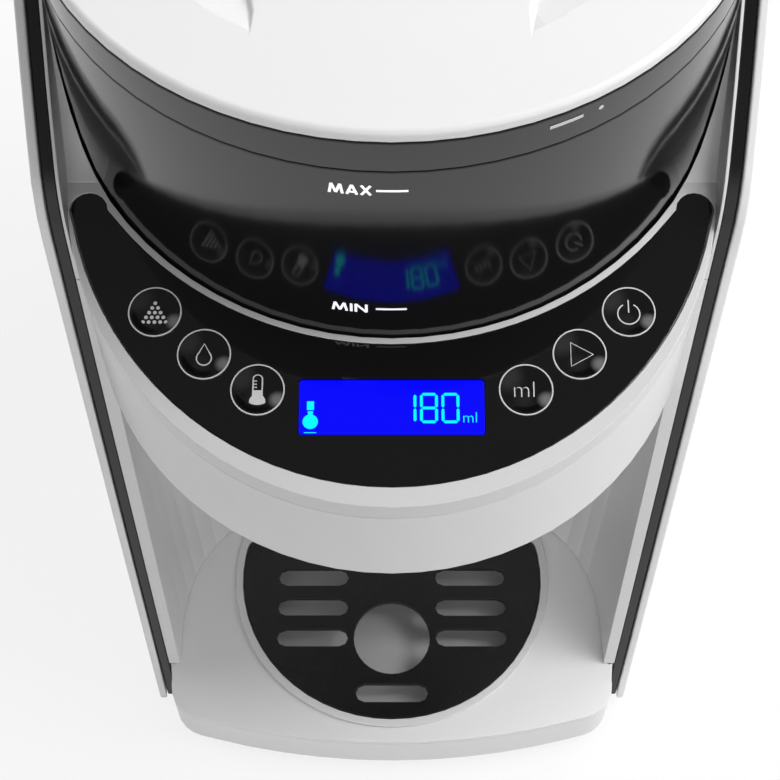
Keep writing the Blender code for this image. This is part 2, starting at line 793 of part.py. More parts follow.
def glass_loop():
    """Crescent of the control glass in the plane of the panel, with round tips."""
    last = math.asin((GLASS_TIP_U + GLASS_TIP_RADIUS) / GLASS_HALF_WIDTH)
    outer = []
    for step in range(GLASS_STEPS + 1):
        turn = -last + 2 * last * step / GLASS_STEPS
        outer.append((GLASS_HALF_WIDTH * math.sin(turn), GLASS_CENTRE - GLASS_REACH * math.cos(turn)))
    highest = GLASS_TIP_V - GLASS_TIP_RADIUS * TIP_BLEND_SHARE
    outer = [point for point in outer if point[1] < highest]
    lean_in = math.asin((GLASS_TIP_U - GLASS_TIP_RADIUS) / GLASS_INNER_RADIUS)
    inner = []
    for step in range(ROUND_SIDES + 1):
        turn = lean_in - 2 * lean_in * step / ROUND_SIDES
        across, along = math.sin(turn), math.cos(turn)
        inner.append((GLASS_INNER_RADIUS * across, GLASS_INNER_CENTRE - GLASS_INNER_RADIUS * along))
    right = arc((GLASS_TIP_U, GLASS_TIP_V), GLASS_TIP_RADIUS, 0, 180, TIP_STEPS)
    left = arc((-GLASS_TIP_U, GLASS_TIP_V), GLASS_TIP_RADIUS, 0, 180, TIP_STEPS)
    return outer + right + inner[1:-1] + left


def glass_v(u, share):
    """Place across the crescent: a share of the way from its front curve to its rear curve."""
    front = GLASS_CENTRE - GLASS_REACH * math.sqrt(1 - (u / GLASS_HALF_WIDTH) ** 2)
    rear = GLASS_INNER_CENTRE - math.sqrt(GLASS_INNER_RADIUS**2 - u * u)
    return front + (rear - front) * share


def gear_loop(teeth, phase, centre):
    """Outline of an involute gear."""
    pitch = GEAR_MODULE * teeth / 2
    base = pitch * math.cos(PRESSURE_ANGLE)
    tip = pitch + GEAR_MODULE
    root = pitch - GEAR_MODULE * GEAR_ROOT_SHARE
    involute = math.tan(PRESSURE_ANGLE) - PRESSURE_ANGLE
    half_pitch = (math.pi / teeth - GEAR_BACKLASH / pitch) / 2
    points = []
    for tooth in range(teeth):
        middle = phase + math.tau * tooth / teeth
        flank = []
        for share in (0.0, 0.5, 1.0):
            radius = max(base, root) + (tip - max(base, root)) * share
            roll = math.acos(min(1.0, base / radius))
            flank.append((radius, half_pitch + involute - (math.tan(roll) - roll)))
        left = [(root, flank[0][1])] + flank
        spokes = [(radius, -angle) for radius, angle in left]
        spokes += [(radius, angle) for radius, angle in left[::-1]]
        for radius, angle in spokes:
            across, along = math.cos(middle + angle), math.sin(middle + angle)
            points.append((centre[0] + radius * across, centre[1] + radius * along))
    return points


def build_base():
    """Feet, bottom pan, deck and the screws that hold them."""
    for name, place in FOOT_PLACES.items():
        chamfer = FOOT_HEIGHT * FOOT_CHAMFER_SHARE
        profile = [(0, FOOT_HEIGHT), (FOOT_RADIUS, FOOT_HEIGHT), (FOOT_RADIUS, chamfer)]
        profile += [(FOOT_RADIUS * FOOT_SOLE_SHARE, 0), (0, 0)]
        part(turned(name, profile, SMALL_SIDES, place), name, "rubber")

    pan = prism("pan", [base_loop(0)], PAN_BOTTOM, PAN_TOP)
    room = prism("pan_room", [base_loop(SHELL_WALL)], PAN_BOTTOM + SHELL_WALL, PAN_TOP + OVERRUN)
    cut(pan, room)
    deck = prism("deck", [base_loop(0), tray_loop(TRAY_LIP - SEAT_GAP)], DECK_BOTTOM, DECK_TOP)
    boss_low = PAN_BOTTOM + SHELL_WALL + SEAT_GAP
    for name, place in SCREW_PLACES.items():
        join(deck, rod(name + "_boss", BOSS_RADIUS, boss_low, DECK_BOTTOM + DECK_WALL / 2, place))
    for name, place in SCREW_PLACES.items():
        head_top = PAN_BOTTOM + SEAT_GAP + SCREW_HEAD_HEIGHT
        tip = head_top + SCREW_LENGTH
        profile = [(0, tip), (SCREW_RADIUS, tip), (SCREW_RADIUS, head_top), (SCREW_HEAD, head_top)]
        profile += [(SCREW_HEAD, PAN_BOTTOM + SEAT_GAP), (0, PAN_BOTTOM + SEAT_GAP)]
        part(turned(name, profile, FINE_SIDES, place), name, "steel")
        hole = SCREW_RADIUS + SEAT_GAP
        sink = SCREW_HEAD + SEAT_GAP
        boss_step = head_top + SEAT_GAP
        cut(pan, rod(name + "_hole", hole, PAN_BOTTOM - OVERRUN, PAN_TOP, place, FINE_SIDES))
        cut(pan, rod(name + "_sink", sink, PAN_BOTTOM - OVERRUN, boss_step, place, FINE_SIDES))
        cut(deck, rod(name + "_pilot", hole, boss_low - OVERRUN, tip + SEAT_GAP, place, FINE_SIDES))
        cut(deck, rod(name + "_clear", sink, boss_low - OVERRUN, boss_step, place, FINE_SIDES))
    part(pan, "base_pan", "white")
    part(deck, "base_deck", "white")


def build_tray():
    """Drip tray and its slotted cover."""
    lip_low = DECK_TOP + SEAT_GAP
    lip_top = lip_low + TRAY_LIP_HEIGHT
    cover_top = lip_top - SEAT_GAP
    cover_low = cover_top - COVER_THICKNESS
    ledge = cover_low - SEAT_GAP
    inner = TRAY_LIP + TRAY_WALL
    tray = prism("tray", [tray_loop(TRAY_LIP)], lip_top - TRAY_DEPTH - TRAY_LIP_HEIGHT, lip_top)
    join(tray, prism("tray_lip", [tray_loop(0)], lip_low, lip_top))
    low = lip_top - TRAY_DEPTH - TRAY_LIP_HEIGHT + TRAY_FLOOR
    cut(tray, prism("tray_room", [tray_loop(inner + TRAY_LEDGE)], low, lip_top + OVERRUN))
    cut(tray, prism("tray_step", [tray_loop(inner)], ledge, lip_top + OVERRUN))
    part(tray, "drip_tray", "pale")

    drain = circle(DRAIN_RADIUS, (0, DRAIN_Y), ROUND_SIDES)
    cover = prism("cover", [tray_loop(inner + SEAT_GAP), drain], cover_low, cover_top)
    for row in range(SLOT_ROWS):
        for side in (-1, 1):
            y = DRAIN_Y + SLOT_PITCH * row
            loop = slot_loop(side * SLOT_X, y, SLOT_LENGTH, SLOT_WIDTH)
            cut(cover, prism(f"slot_{row}_{side}", [loop], cover_low - OVERRUN, cover_top + OVERRUN))
    loop = slot_loop(0, SLOT_FRONT_Y, SLOT_LENGTH, SLOT_WIDTH)
    cut(cover, prism("slot_front", [loop], cover_low - OVERRUN, cover_top + OVERRUN))
    part(cover, "tray_cover", "black")


def build_housing():
    """Main housing with the bottle bay, the cradle that holds the container, the panels and the trim."""
    start = EDGE_FOOT_Y - OVERRUN
    outer = mirrored(side_run(start, HOUSING_REAR, CORE_INSET))
    housing = lean(prism("housing", [outer], HOUSING_BOTTOM, HOUSING_TOP))
    room_loop = mirrored(side_run(start, HOUSING_REAR - SHELL_WALL, CORE_INSET + SHELL_WALL))
    room = lean(prism("housing_room", [room_loop], HOUSING_BOTTOM - OVERRUN, HOUSING_TOP + OVERRUN))
    cut(room, before_edge("room_front", SHELL_WALL))
    cut(room, bay_space("bay_wall", SHELL_WALL, HOUSING_BOTTOM - OVERRUN * 2, BOWL_BOTTOM + SHELL_WALL))
    cut(housing, before_edge("housing_front", 0), room)
    cut(housing, bay_space("bay", 0, HOUSING_BOTTOM - OVERRUN, BOWL_BOTTOM))
    hole = TUBE_RADIUS + RUN_GAP
    x, z = PUMP_X / 2, DOCK_TOP * TUBE_ENTRY_SHARE
    ends = [(x, HOUSING_REAR - OVERRUN, z), (x, HOUSING_REAR + OVERRUN, z)]
    cut(housing, pipe("pump_hole", ends, hole, HOLE_STEPS))
    x, z = NOZZLE_X, hot_level()
    ends = [(x, edge_y(z) - OVERRUN, z), (x, edge_y(z) + OVERRUN, z)]
    cut(housing, pipe("hot_hole", ends, hole, HOLE_STEPS))
    part(housing, "main_housing", "pale")

    trim_band = edge_band("trim_band", TRIM_RECESS, TRIM_RECESS + TRIM_DEPTH)
    trim_low = PAN_BOTTOM + SEAT_GAP
    trim_in = TRIM_INSET + TRIM_WALL
    trim = side_wall("trim", TRIM_INSET, trim_in, start, HOUSING_REAR, trim_low, BODY_TOP)
    keep(trim, trim_band)
    left_trim = copied(trim, "left_trim", flipped=True)
    part(trim, "trim_right", "black")
    part(left_trim, "trim_left", "black")

    panel = side_wall("panel", 0, PANEL_WALL, start, PANEL_REAR, PAN_BOTTOM, BODY_TOP + OVERRUN)
    cut(panel, before_edge("panel_front", 0))
    left_panel = copied(panel, "left_panel", flipped=True)
    part(panel, "side_panel_right", "white")
    part(left_panel, "side_panel_left", "white")

    shell = mirrored(side_run(start, HOUSING_REAR, TRIM_INSET))
    cradle = lean(prism("cradle", [shell], CRADLE_BOTTOM, BODY_TOP + OVERRUN))
    cut(cradle, before_edge("cradle_front", 0))
    groove_band = edge_band("groove_band", -OVERRUN, TRIM_RECESS + TRIM_DEPTH + SEAT_GAP)
    groove_out, groove_low = TRIM_INSET - OVERRUN, CRADLE_BOTTOM - OVERRUN
    groove_start, groove_top = start - OVERRUN, BODY_TOP + OVERRUN
    groove = side_wall("groove", groove_out, CORE_INSET, groove_start, PANEL_REAR, groove_low, groove_top)
    keep(groove, groove_band)
    cut(cradle, groove, copied(groove, "groove_left", flipped=True))
    scoop_loop = mirrored(side_run(start, HOUSING_REAR, SCOOP_INSET))
    scoop = lean(prism("scoop", [scoop_loop], CRADLE_LEVEL, BODY_TOP + OVERRUN))
    plane_start = (BEZEL_REAR_Y, panel_level(BEZEL_REAR_Y))
    bend_y = BEZEL_REAR_Y + SCOOP_RUN * SCOOP_BEND_SHARE
    bend = (bend_y, panel_level(bend_y))
    finish = (BEZEL_REAR_Y + SCOOP_RUN, plane_start[1] + SCOOP_RISE)
    curve = []
    for step in range(SCOOP_STEPS + 1):
        share = step / SCOOP_STEPS
        first = Vector(plane_start).lerp(Vector(bend), share)
        curve.append(tuple(first.lerp(Vector(bend).lerp(Vector(finish), share), share)))
    low = BEZEL_THICKNESS + SEAT_GAP
    slot = [(-FAR, panel_level(-FAR, low)), (BEZEL_REAR_Y, panel_level(BEZEL_REAR_Y, low))]
    region = side_prism("scoop_side", [slot + curve + [(finish[0], FAR), (-FAR, FAR)]], -FAR, FAR)
    keep(scoop, region)
    cut(cradle, scoop)
    join(cradle, prism("front_ring", [circle(RECESS_RADIUS + SHELL_WALL)], CRADLE_BOTTOM, CRADLE_LEVEL))
    cut(cradle, prism("recess", [circle(RECESS_RADIUS)], CRADLE_BOTTOM - OVERRUN, BODY_TOP + OVERRUN * 2))
    corner_loop = mirrored(side_run(0, HOUSING_REAR - SHELL_WALL, CORE_INSET + SHELL_WALL))
    corners = lean(prism("corner_rooms", [corner_loop], CRADLE_BOTTOM - OVERRUN, BODY_TOP - SHELL_WALL))
    cut(corners, rod("corner_wall", RECESS_RADIUS + SHELL_WALL, 0, FAR, (0, 0), WIDE_SIDES))
    cut(cradle, corners)
    part(cradle, "container_cradle", "pale")

    bush_hole = circle(SHAFT_RADIUS + SEAT_GAP + BUSH_WALL + SEAT_GAP, (0, 0), SMALL_SIDES)
    powder_hole = circle(OUTLET_RADIUS + RUN_GAP, (0, -OUTLET_REACH), SMALL_SIDES)
    plate_loops = [circle(RECESS_RADIUS - SEAT_GAP), bush_hole, powder_hole]
    part(prism("plate", plate_loops, CRADLE_BOTTOM, CRADLE_LEVEL), "cradle_floor", "pale")


def hot_level():
    """Height at which the hot water tube enters the head."""
    return BOWL_BOTTOM + DRIVE_HEIGHT / 2


def build_head():
    """Bowl of the head, with the rails of the funnel holder below it."""
    outer = prism("bowl", [bowl_loop(0)], BOWL_BOTTOM, BODY_TOP)
    cut(outer, prism("bowl_room", [bowl_loop(SHELL_WALL)], BOWL_BOTTOM + BOWL_FLOOR, BODY_TOP + OVERRUN))
    cut(outer, above_panel("bowl_top", BEZEL_THICKNESS + SEAT_GAP))
    rail_in = HOLDER_HALF_WIDTH + RUN_GAP
    rail_low = holder_low() - SEAT_GAP - RAIL_WALL
    front = FUNNEL_Y - HOLDER_REACH * RAIL_RUN_SHARE
    rail_top = rail_low + RAIL_WALL
    for side in (-1, 1):
        web = sorted((side * rail_in, side * (rail_in + RAIL_WALL)))
        lip = sorted((side * (rail_in - RAIL_LIP), side * (rail_in + RAIL_WALL)))
        rail_back = edge_y(rail_low) - SHELL_WALL
        web_top = BOWL_BOTTOM + BOWL_FLOOR / 2
        join(outer, block(f"rail_{side}", (web[0], front, rail_low), (web[1], rail_back, web_top)))
        join(outer, block(f"rail_lip_{side}", (lip[0], front, rail_low), (lip[1], rail_back, rail_top)))
    cut(outer, behind_edge("bowl_back", -SEAT_GAP))
    low, high = BOWL_BOTTOM - OVERRUN, BOWL_BOTTOM + OVERRUN
    chute_place = (0, -OUTLET_REACH - CHUTE_RUN)
    cut(outer, rod("chute_exit", OUTLET_RADIUS + RUN_GAP, low, high, chute_place))
    cut(outer, rod("nozzle_exit", NOZZLE_RADIUS + SEAT_GAP, low, high, (NOZZLE_X, FUNNEL_Y)))
    part(outer, "head_bowl", "pale")


def bowl_loop(inset, sides=WIDE_SIDES):
    """Outline of the head seen from above, an ellipse wider than it is deep."""
    turns = [math.tau * step / sides for step in range(sides)]
    half, reach = BOWL_HALF_WIDTH - inset, BOWL_REACH - inset
    return [(half * math.cos(turn), BOWL_Y + reach * math.sin(turn)) for turn in turns]


def grown(loop, distance):
    """An outline moved outwards by a distance, all around."""
    count = len(loop)
    area = sum(a[0] * b[1] - b[0] * a[1] for a, b in zip(loop, loop[1:] + loop[:1]))
    way = 1 if area > 0 else -1
    points = []
    for index in range(count):
        before, here, after = (Vector(loop[(index + step) % count]) for step in (-1, 0, 1))
        first = (here - before).normalized()
        second = (after - here).normalized()
        first_out = Vector((first.y, -first.x)) * way
        second_out = Vector((second.y, -second.x)) * way
        normal = (first_out + second_out).normalized()
        slope = max(GROWN_SLOPE_LEAST, normal.dot(first_out))
        points.append(tuple(here + normal * (distance / slope)))
    return points


def build_panel():
    """Bezel, control glass, display, keys and their board, all on the tilted plane."""
    bezel = prism("bezel", [bowl_loop(0)], CRADLE_LEVEL - OVERRUN * 3, BODY_TOP)
    cut(bezel, above_panel("bezel_top", 0))
    cut(bezel, block("bezel_back", (-FAR, BEZEL_REAR_Y - SEAT_GAP, 0), (FAR, FAR, FAR)))
    sides = mirrored(side_run(BOWL_Y - BOWL_REACH - OVERRUN, -BEZEL_REAR_Y, BEZEL_INSET))
    keep(bezel, lean(prism("bezel_sides", [sides], 0, FAR)))
    under = [(-FAR, panel_level(-FAR, BEZEL_THICKNESS)), (FAR, panel_level(FAR, BEZEL_THICKNESS))]
    cut(bezel, side_prism("bezel_under", [under + [(FAR, 0), (-FAR, 0)]], -FAR, FAR))
    bezel = settled(bezel, "bezel")
    soften = bezel.modifiers.new("round", "BEVEL")
    soften.width = BEZEL_ROUND
    soften.segments = BEZEL_ROUND_STEPS
    soften.limit_method = "WEIGHT"
    weights = bezel.data.attributes.new("bevel_weight_edge", "FLOAT", "EDGE")
    for edge in bezel.data.edges:
        ends = [bezel.data.vertices[index].co for index in edge.vertices]
        on_top = all(abs(end.z - panel_level(end.y)) < SEAT_GAP for end in ends)
        at_front = all(end.y < BEZEL_REAR_Y - OVERRUN for end in ends)
        weights.data[edge.index].value = 1.0 if on_top and at_front else 0.0
    skirt_loop = circle(RECESS_RADIUS + SHELL_WALL - SEAT_GAP)
    skirt = prism("skirt", [skirt_loop], CRADLE_LEVEL + SEAT_GAP, BODY_TOP)
    cut(skirt, above_panel("skirt_top", BEZEL_THICKNESS / 2))
    cut(skirt, block("skirt_back", (-FAR, edge_y(PANEL_Z) - SHELL_WALL * 2, 0), (FAR, FAR, FAR)))
    join(bezel, skirt)
    cut(bezel, prism("bezel_recess", [circle(RECESS_RADIUS)], 0, FAR))

    plane = bpy.data.objects.new("panel_plane", None)
    collection("formula_maker").objects.link(plane)
    plane.location = (0, PANEL_Y, PANEL_Z)
    plane.rotation_euler = (PANEL_TILT, 0, 0)
    place = Matrix.Translation(plane.location) @ plane.rotation_euler.to_matrix().to_4x4()

    pocket = prism("glass_pocket", [grown(glass_loop(), SEAT_GAP)], -GLASS_THICKNESS - SEAT_GAP, OVERRUN)
    pocket.data.transform(place)
    window = prism("board_room", [grown(glass_loop(), -GLASS_LEDGE)], -BEZEL_THICKNESS - OVERRUN, 0)
    window.data.transform(place)
    cut(bezel, pocket, window)
    part(bezel, "panel_bezel", "pale")

    lcd_v = glass_v(0, LCD_SHARE)
    lcd_loop = rect_loop(LCD_WIDTH, LCD_DEPTH, lcd_v, LCD_FRAME / 2)
    key_places = {}
    for name, (across, share) in KEY_PLACES.items():
        u = across * GLASS_HALF_WIDTH
        key_places[name] = (u, glass_v(u, share))
    holes = [circle(KEY_RADIUS + SEAT_GAP, spot, SMALL_SIDES) for spot in key_places.values()]
    window = rect_loop(LCD_WIDTH + SEAT_GAP * 2, LCD_DEPTH + SEAT_GAP * 2, lcd_v, LCD_FRAME / 2)
    glass = prism("glass", [glass_loop(), window] + holes, -GLASS_THICKNESS, 0)
    part(glass, "control_glass", "glass_black", parent=plane)
    part(prism("lcd", [lcd_loop], -GLASS_THICKNESS, 0), "lcd_window", "lcd", parent=plane)
    low = -GLASS_THICKNESS - SEAT_GAP - LCD_THICKNESS
    module_loop = rect_loop(LCD_WIDTH + LCD_FRAME * 2, LCD_DEPTH + LCD_FRAME, lcd_v, LCD_FRAME / 2)
    module = prism("module", [module_loop], low, low + LCD_THICKNESS)
    part(module, "lcd_module", "grey", parent=plane)
    board_top = low - SEAT_GAP
    board = prism("board", [grown(glass_loop(), -BOARD_INSET)], board_top - BOARD_THICKNESS, board_top)
    part(board, "control_board", "board", parent=plane)
    for name, spot in key_places.items():
        low = -GLASS_THICKNESS - KEY_STEM_LENGTH
        profile = [(0, 0), (KEY_RADIUS, 0), (KEY_RADIUS, -GLASS_THICKNESS)]
        profile += [(KEY_STEM_RADIUS, -GLASS_THICKNESS)]
        profile += [(KEY_STEM_RADIUS, low), (0, low)]
        part(turned(name, profile, SMALL_SIDES), name, "glass_black", parent=plane).location = (*spot, 0)


def rect_loop(width, depth, centre_v, corner):
    """A rectangle with round corners, centred on the panel's middle line."""
    half, reach = width / 2, depth / 2
    low, high = centre_v - reach, centre_v + reach
    corners = [(-half, low), (half, low), (half, high), (-half, high)]
    return rounded(corners, [corner] * len(corners), SMALL_CORNER_STEPS)


def build_container():
    """Powder container with its measuring wheel and stirrer, the lock ring and the lid."""
    floor = CONTAINER_BOTTOM + CRADLE_FLOOR
    inner = CONTAINER_RADIUS - CONTAINER_WALL
    profile = [(CONTAINER_RADIUS, CONTAINER_TOP), (CONTAINER_RADIUS, CONTAINER_BOTTOM)]
    profile += [(inner, CONTAINER_BOTTOM), (inner, CONTAINER_TOP)]
    part(turned("container", profile, WIDE_SIDES), "powder_container", "smoke")
    hub_hole = circle(HUB_RADIUS + RUN_GAP, (0, 0), SMALL_SIDES)
    outlet = circle(OUTLET_RADIUS, (0, -OUTLET_REACH), SMALL_SIDES)
    disc = prism("disc", [circle(inner - SEAT_GAP), hub_hole, outlet], CONTAINER_BOTTOM, floor)
    part(disc, "container_floor", "smoke")

    wheel_low = floor + SEAT_GAP
    wheel_top = wheel_low + WHEEL_HEIGHT
    wheel_radius = inner - RUN_GAP * 2
    stub_top = wheel_top + WHEEL_HEIGHT
    profile = [(0, stub_top), (DOG_RADIUS, stub_top), (DOG_RADIUS, wheel_top), (wheel_radius, wheel_top)]
    profile += [(wheel_radius, wheel_low), (HUB_RADIUS, wheel_low)]
    profile += [(HUB_RADIUS, CONTAINER_BOTTOM + SEAT_GAP), (0, CONTAINER_BOTTOM + SEAT_GAP)]
    wheel = turned("wheel", profile, BIG_SIDES)
    pocket_loop = arc((0, -OUTLET_REACH), WHEEL_POCKET, 0, 180, PIN_SIDES)
    pocket_loop += [(-WHEEL_POCKET, -CONTAINER_RADIUS), (WHEEL_POCKET, -CONTAINER_RADIUS)]
    for index in range(WHEEL_POCKETS):
        pocket = prism(f"pocket_{index}", [pocket_loop], wheel_low - OVERRUN, wheel_top + OVERRUN)
        pocket.data.transform(Matrix.Rotation(math.tau * index / WHEEL_POCKETS, 4, "Z"))
        cut(wheel, pocket)
    socket_top = CONTAINER_BOTTOM + DOG_RISE + SEAT_GAP
    socket_radius = DOG_RADIUS + SEAT_GAP
    cut(wheel, rod("dog_socket", socket_radius, CONTAINER_BOTTOM - OVERRUN, socket_top, (0, 0), DOG_SIDES))
    part(wheel, "measuring_wheel", "grey")

    hub_low = wheel_top + SEAT_GAP
    hub_top = hub_low + STIRRER_HEIGHT
    stirrer = rod("stirrer", STIRRER_HUB, hub_low, hub_top, (0, 0))
    bore = rod("stirrer_bore", DOG_RADIUS + SEAT_GAP, hub_low - OVERRUN, stub_top + SEAT_GAP, (0, 0))
    half = STIRRER_ARM / 2
    post = STIRRER_REACH * STIRRER_POST_SHARE
    root = STIRRER_HUB * ARM_ROOT_SHARE
    thin = half * BLADE_SHARE
    for index in range(STIRRER_ARMS):
        turn = Matrix.Rotation(math.tau * index / STIRRER_ARMS, 4, "Z")
        for level, reach in ((hub_low + half, STIRRER_REACH), (hub_top - STIRRER_ARM - half, post)):
            arm = block(f"arm_{index}", (root, -half, level), (reach, half, level + STIRRER_ARM))
            arm.data.transform(turn)
            join(stirrer, arm)
        low = (post - STIRRER_ARM, -thin, hub_low + STIRRER_ARM)
        high = (post - half / 2, thin, hub_top - STIRRER_ARM)
        blade = block(f"blade_{index}", low, high)
        blade.data.transform(turn)
        join(stirrer, blade)
    cut(stirrer, bore)
    part(stirrer, "stirrer", "pale")

    ring_inner = CONTAINER_RADIUS - LID_WALL
    profile = [(CONTAINER_RADIUS, RING_TOP), (CONTAINER_RADIUS, RING_BOTTOM)]
    profile += [(ring_inner, RING_BOTTOM), (ring_inner, RING_TOP)]
    part(turned("ring", profile, WIDE_SIDES), "lid_ring", "smoke")

    plug = ring_inner - SEAT_GAP
    skirt = plug - LID_SKIRT_INSET
    plug_low = LIP_BOTTOM - LID_PLUG_DEPTH
    skirt_low = LIP_BOTTOM - LID_SKIRT_DEPTH
    roof = LID_TOP - LIP_HEIGHT
    room_top = LID_TOP - LID_GRIP_DEPTH - LID_FLOOR
    lip = CONTAINER_RADIUS + LID_OVERHANG
    edge = LIP_HEIGHT * LID_CHAMFER_SHARE
    room = LID_GRIP_RADIUS + LID_FLOOR
    profile = [(0, LID_TOP), (lip - edge, LID_TOP), (lip, LID_TOP - edge), (lip, LIP_BOTTOM)]
    profile += [(plug, LIP_BOTTOM), (plug, plug_low), (skirt, plug_low), (skirt, skirt_low)]
    profile += [(skirt - LID_FLOOR, skirt_low), (skirt - LID_FLOOR, roof), (room, roof)]
    profile += [(room, room_top), (0, room_top)]
    lid = turned("lid", profile, WIDE_SIDES)
    slope = LID_GRIP_DEPTH / (LID_GRIP_RADIUS - LID_GRIP_HALF_BAR)
    apex = LID_TOP - slope * LID_GRIP_RADIUS
    rim = LID_GRIP_RADIUS + OVERRUN
    cone = [(0, LID_TOP + OVERRUN), (rim, LID_TOP + OVERRUN), (rim, LID_TOP + slope * OVERRUN), (0, apex)]
    angle = math.degrees(math.acos(LID_GRIP_HALF_BAR / LID_GRIP_RADIUS))
    for side in (0, 180):
        loop = arc((0, 0), LID_GRIP_RADIUS, side - angle, side + angle, FINE_SIDES)
        grip = prism(f"grip_{side}", [loop], apex - OVERRUN, LID_TOP + OVERRUN / 2)
        keep(grip, turned(f"grip_cone_{side}", cone, WIDE_SIDES))
        cut(lid, grip)
    part(lid, "lid_top", "white")
    seal_in = skirt + SEAT_GAP
    seal_out = inner - SEAT_GAP
    low = skirt_low
    profile = [(seal_out, low + SEAL_HEIGHT), (seal_out, low), (seal_in, low), (seal_in, low + SEAL_HEIGHT)]
    part(turned("seal", profile, BIG_SIDES), "lid_seal", "silicone")


def build_drive():
    """Gear motor, pinion, drive gear with its dog, bush and bracket under the cradle."""
    distance = GEAR_MODULE * (GEAR_TEETH + PINION_TEETH) / 2
    plate_low = BOWL_BOTTOM + MOTOR_HEIGHT - BRACKET_WALL
    plate_top = plate_low + BRACKET_WALL
    gear_low = plate_top + SEAT_GAP
    gear_top = gear_low + GEAR_WIDTH
    dog_top = CONTAINER_BOTTOM + DOG_RISE
    gear_phase = math.pi / 2 + math.pi / GEAR_TEETH
    gear = prism("gear", [gear_loop(GEAR_TEETH, gear_phase, (0, 0))], gear_low, gear_top)
    join(gear, rod("gear_shaft", SHAFT_RADIUS, gear_top - GEAR_WIDTH / 2, CRADLE_LEVEL, (0, 0)))
    join(gear, rod("gear_dog", DOG_RADIUS, gear_top, dog_top, (0, 0), DOG_SIDES))
    join(gear, rod("gear_spigot", SPIGOT_RADIUS, plate_low, gear_top - GEAR_WIDTH / 2, (0, 0)))
    part(gear, "drive_gear", "grey")
    pinion = prism("pinion", [gear_loop(PINION_TEETH, -math.pi / 2, (0, distance))], gear_low, gear_top)
    stub_low = plate_low - SEAT_GAP - STUB_LENGTH
    stub = SPIGOT_RADIUS - SEAT_GAP * 4
    join(pinion, rod("pinion_stub", stub, stub_low, gear_low + GEAR_WIDTH / 2, (0, distance)))
    part(pinion, "motor_pinion", "brass", origin=(0, distance, 0))

    motor_top = plate_low - SEAT_GAP
    motor_low = motor_top - MOTOR_HEIGHT * MOTOR_BOX_SHARE
    motor = rod("motor", MOTOR_RADIUS, motor_low, motor_top, (0, distance))
    can_radius = MOTOR_RADIUS * MOTOR_CAN_SHARE
    can_low = motor_low - MOTOR_HEIGHT
    join(motor, rod("motor_can", can_radius, can_low, motor_low + SHELL_WALL, (0, distance)))
    bore_low, bore_top = stub_low - SEAT_GAP, motor_top + OVERRUN
    cut(motor, rod("motor_bore", stub + SEAT_GAP, bore_low, bore_top, (0, distance)))
    part(motor, "gear_motor", "steel")

    reach = BRACKET_REACH
    low, high = (-reach, -reach / 2, plate_low), (reach, distance + reach * BRACKET_TAIL_SHARE, plate_top)
    post_low = plate_low + BRACKET_WALL / 2
    bracket = block("bracket", low, high)
    for x in (-reach + BRACKET_POST, reach - BRACKET_POST):
        for y in (low[1] + BRACKET_POST, high[1] - BRACKET_POST):
            join(bracket, rod("bracket_post", BRACKET_POST, post_low, HOUSING_TOP, (x, y), FINE_SIDES))
    hole_low, hole_top = plate_low - OVERRUN, plate_top + OVERRUN
    cut(bracket, rod("spigot_hole", SPIGOT_RADIUS + SEAT_GAP, hole_low, hole_top, (0, 0)))
    cut(bracket, rod("stub_hole", SPIGOT_RADIUS, hole_low, hole_top, (0, distance)))
    part(bracket, "motor_bracket", "steel")

    bore = SHAFT_RADIUS + SEAT_GAP
    outer = bore + BUSH_WALL
    flange = outer + BUSH_WALL
    step = CRADLE_BOTTOM - SEAT_GAP
    top, low = CRADLE_LEVEL - SEAT_GAP, step - BUSH_FLANGE
    profile = [(outer, top), (outer, step), (flange, step), (flange, low), (bore, low), (bore, top)]
    part(turned("bush", profile, SMALL_SIDES), "drive_bush", "brass")


def holder_low():
    """Underside of the funnel holder's plate."""
    return BOWL_BOTTOM - SEAT_GAP * 2 - FUNNEL_RIM_HEIGHT - HOLDER_WALL


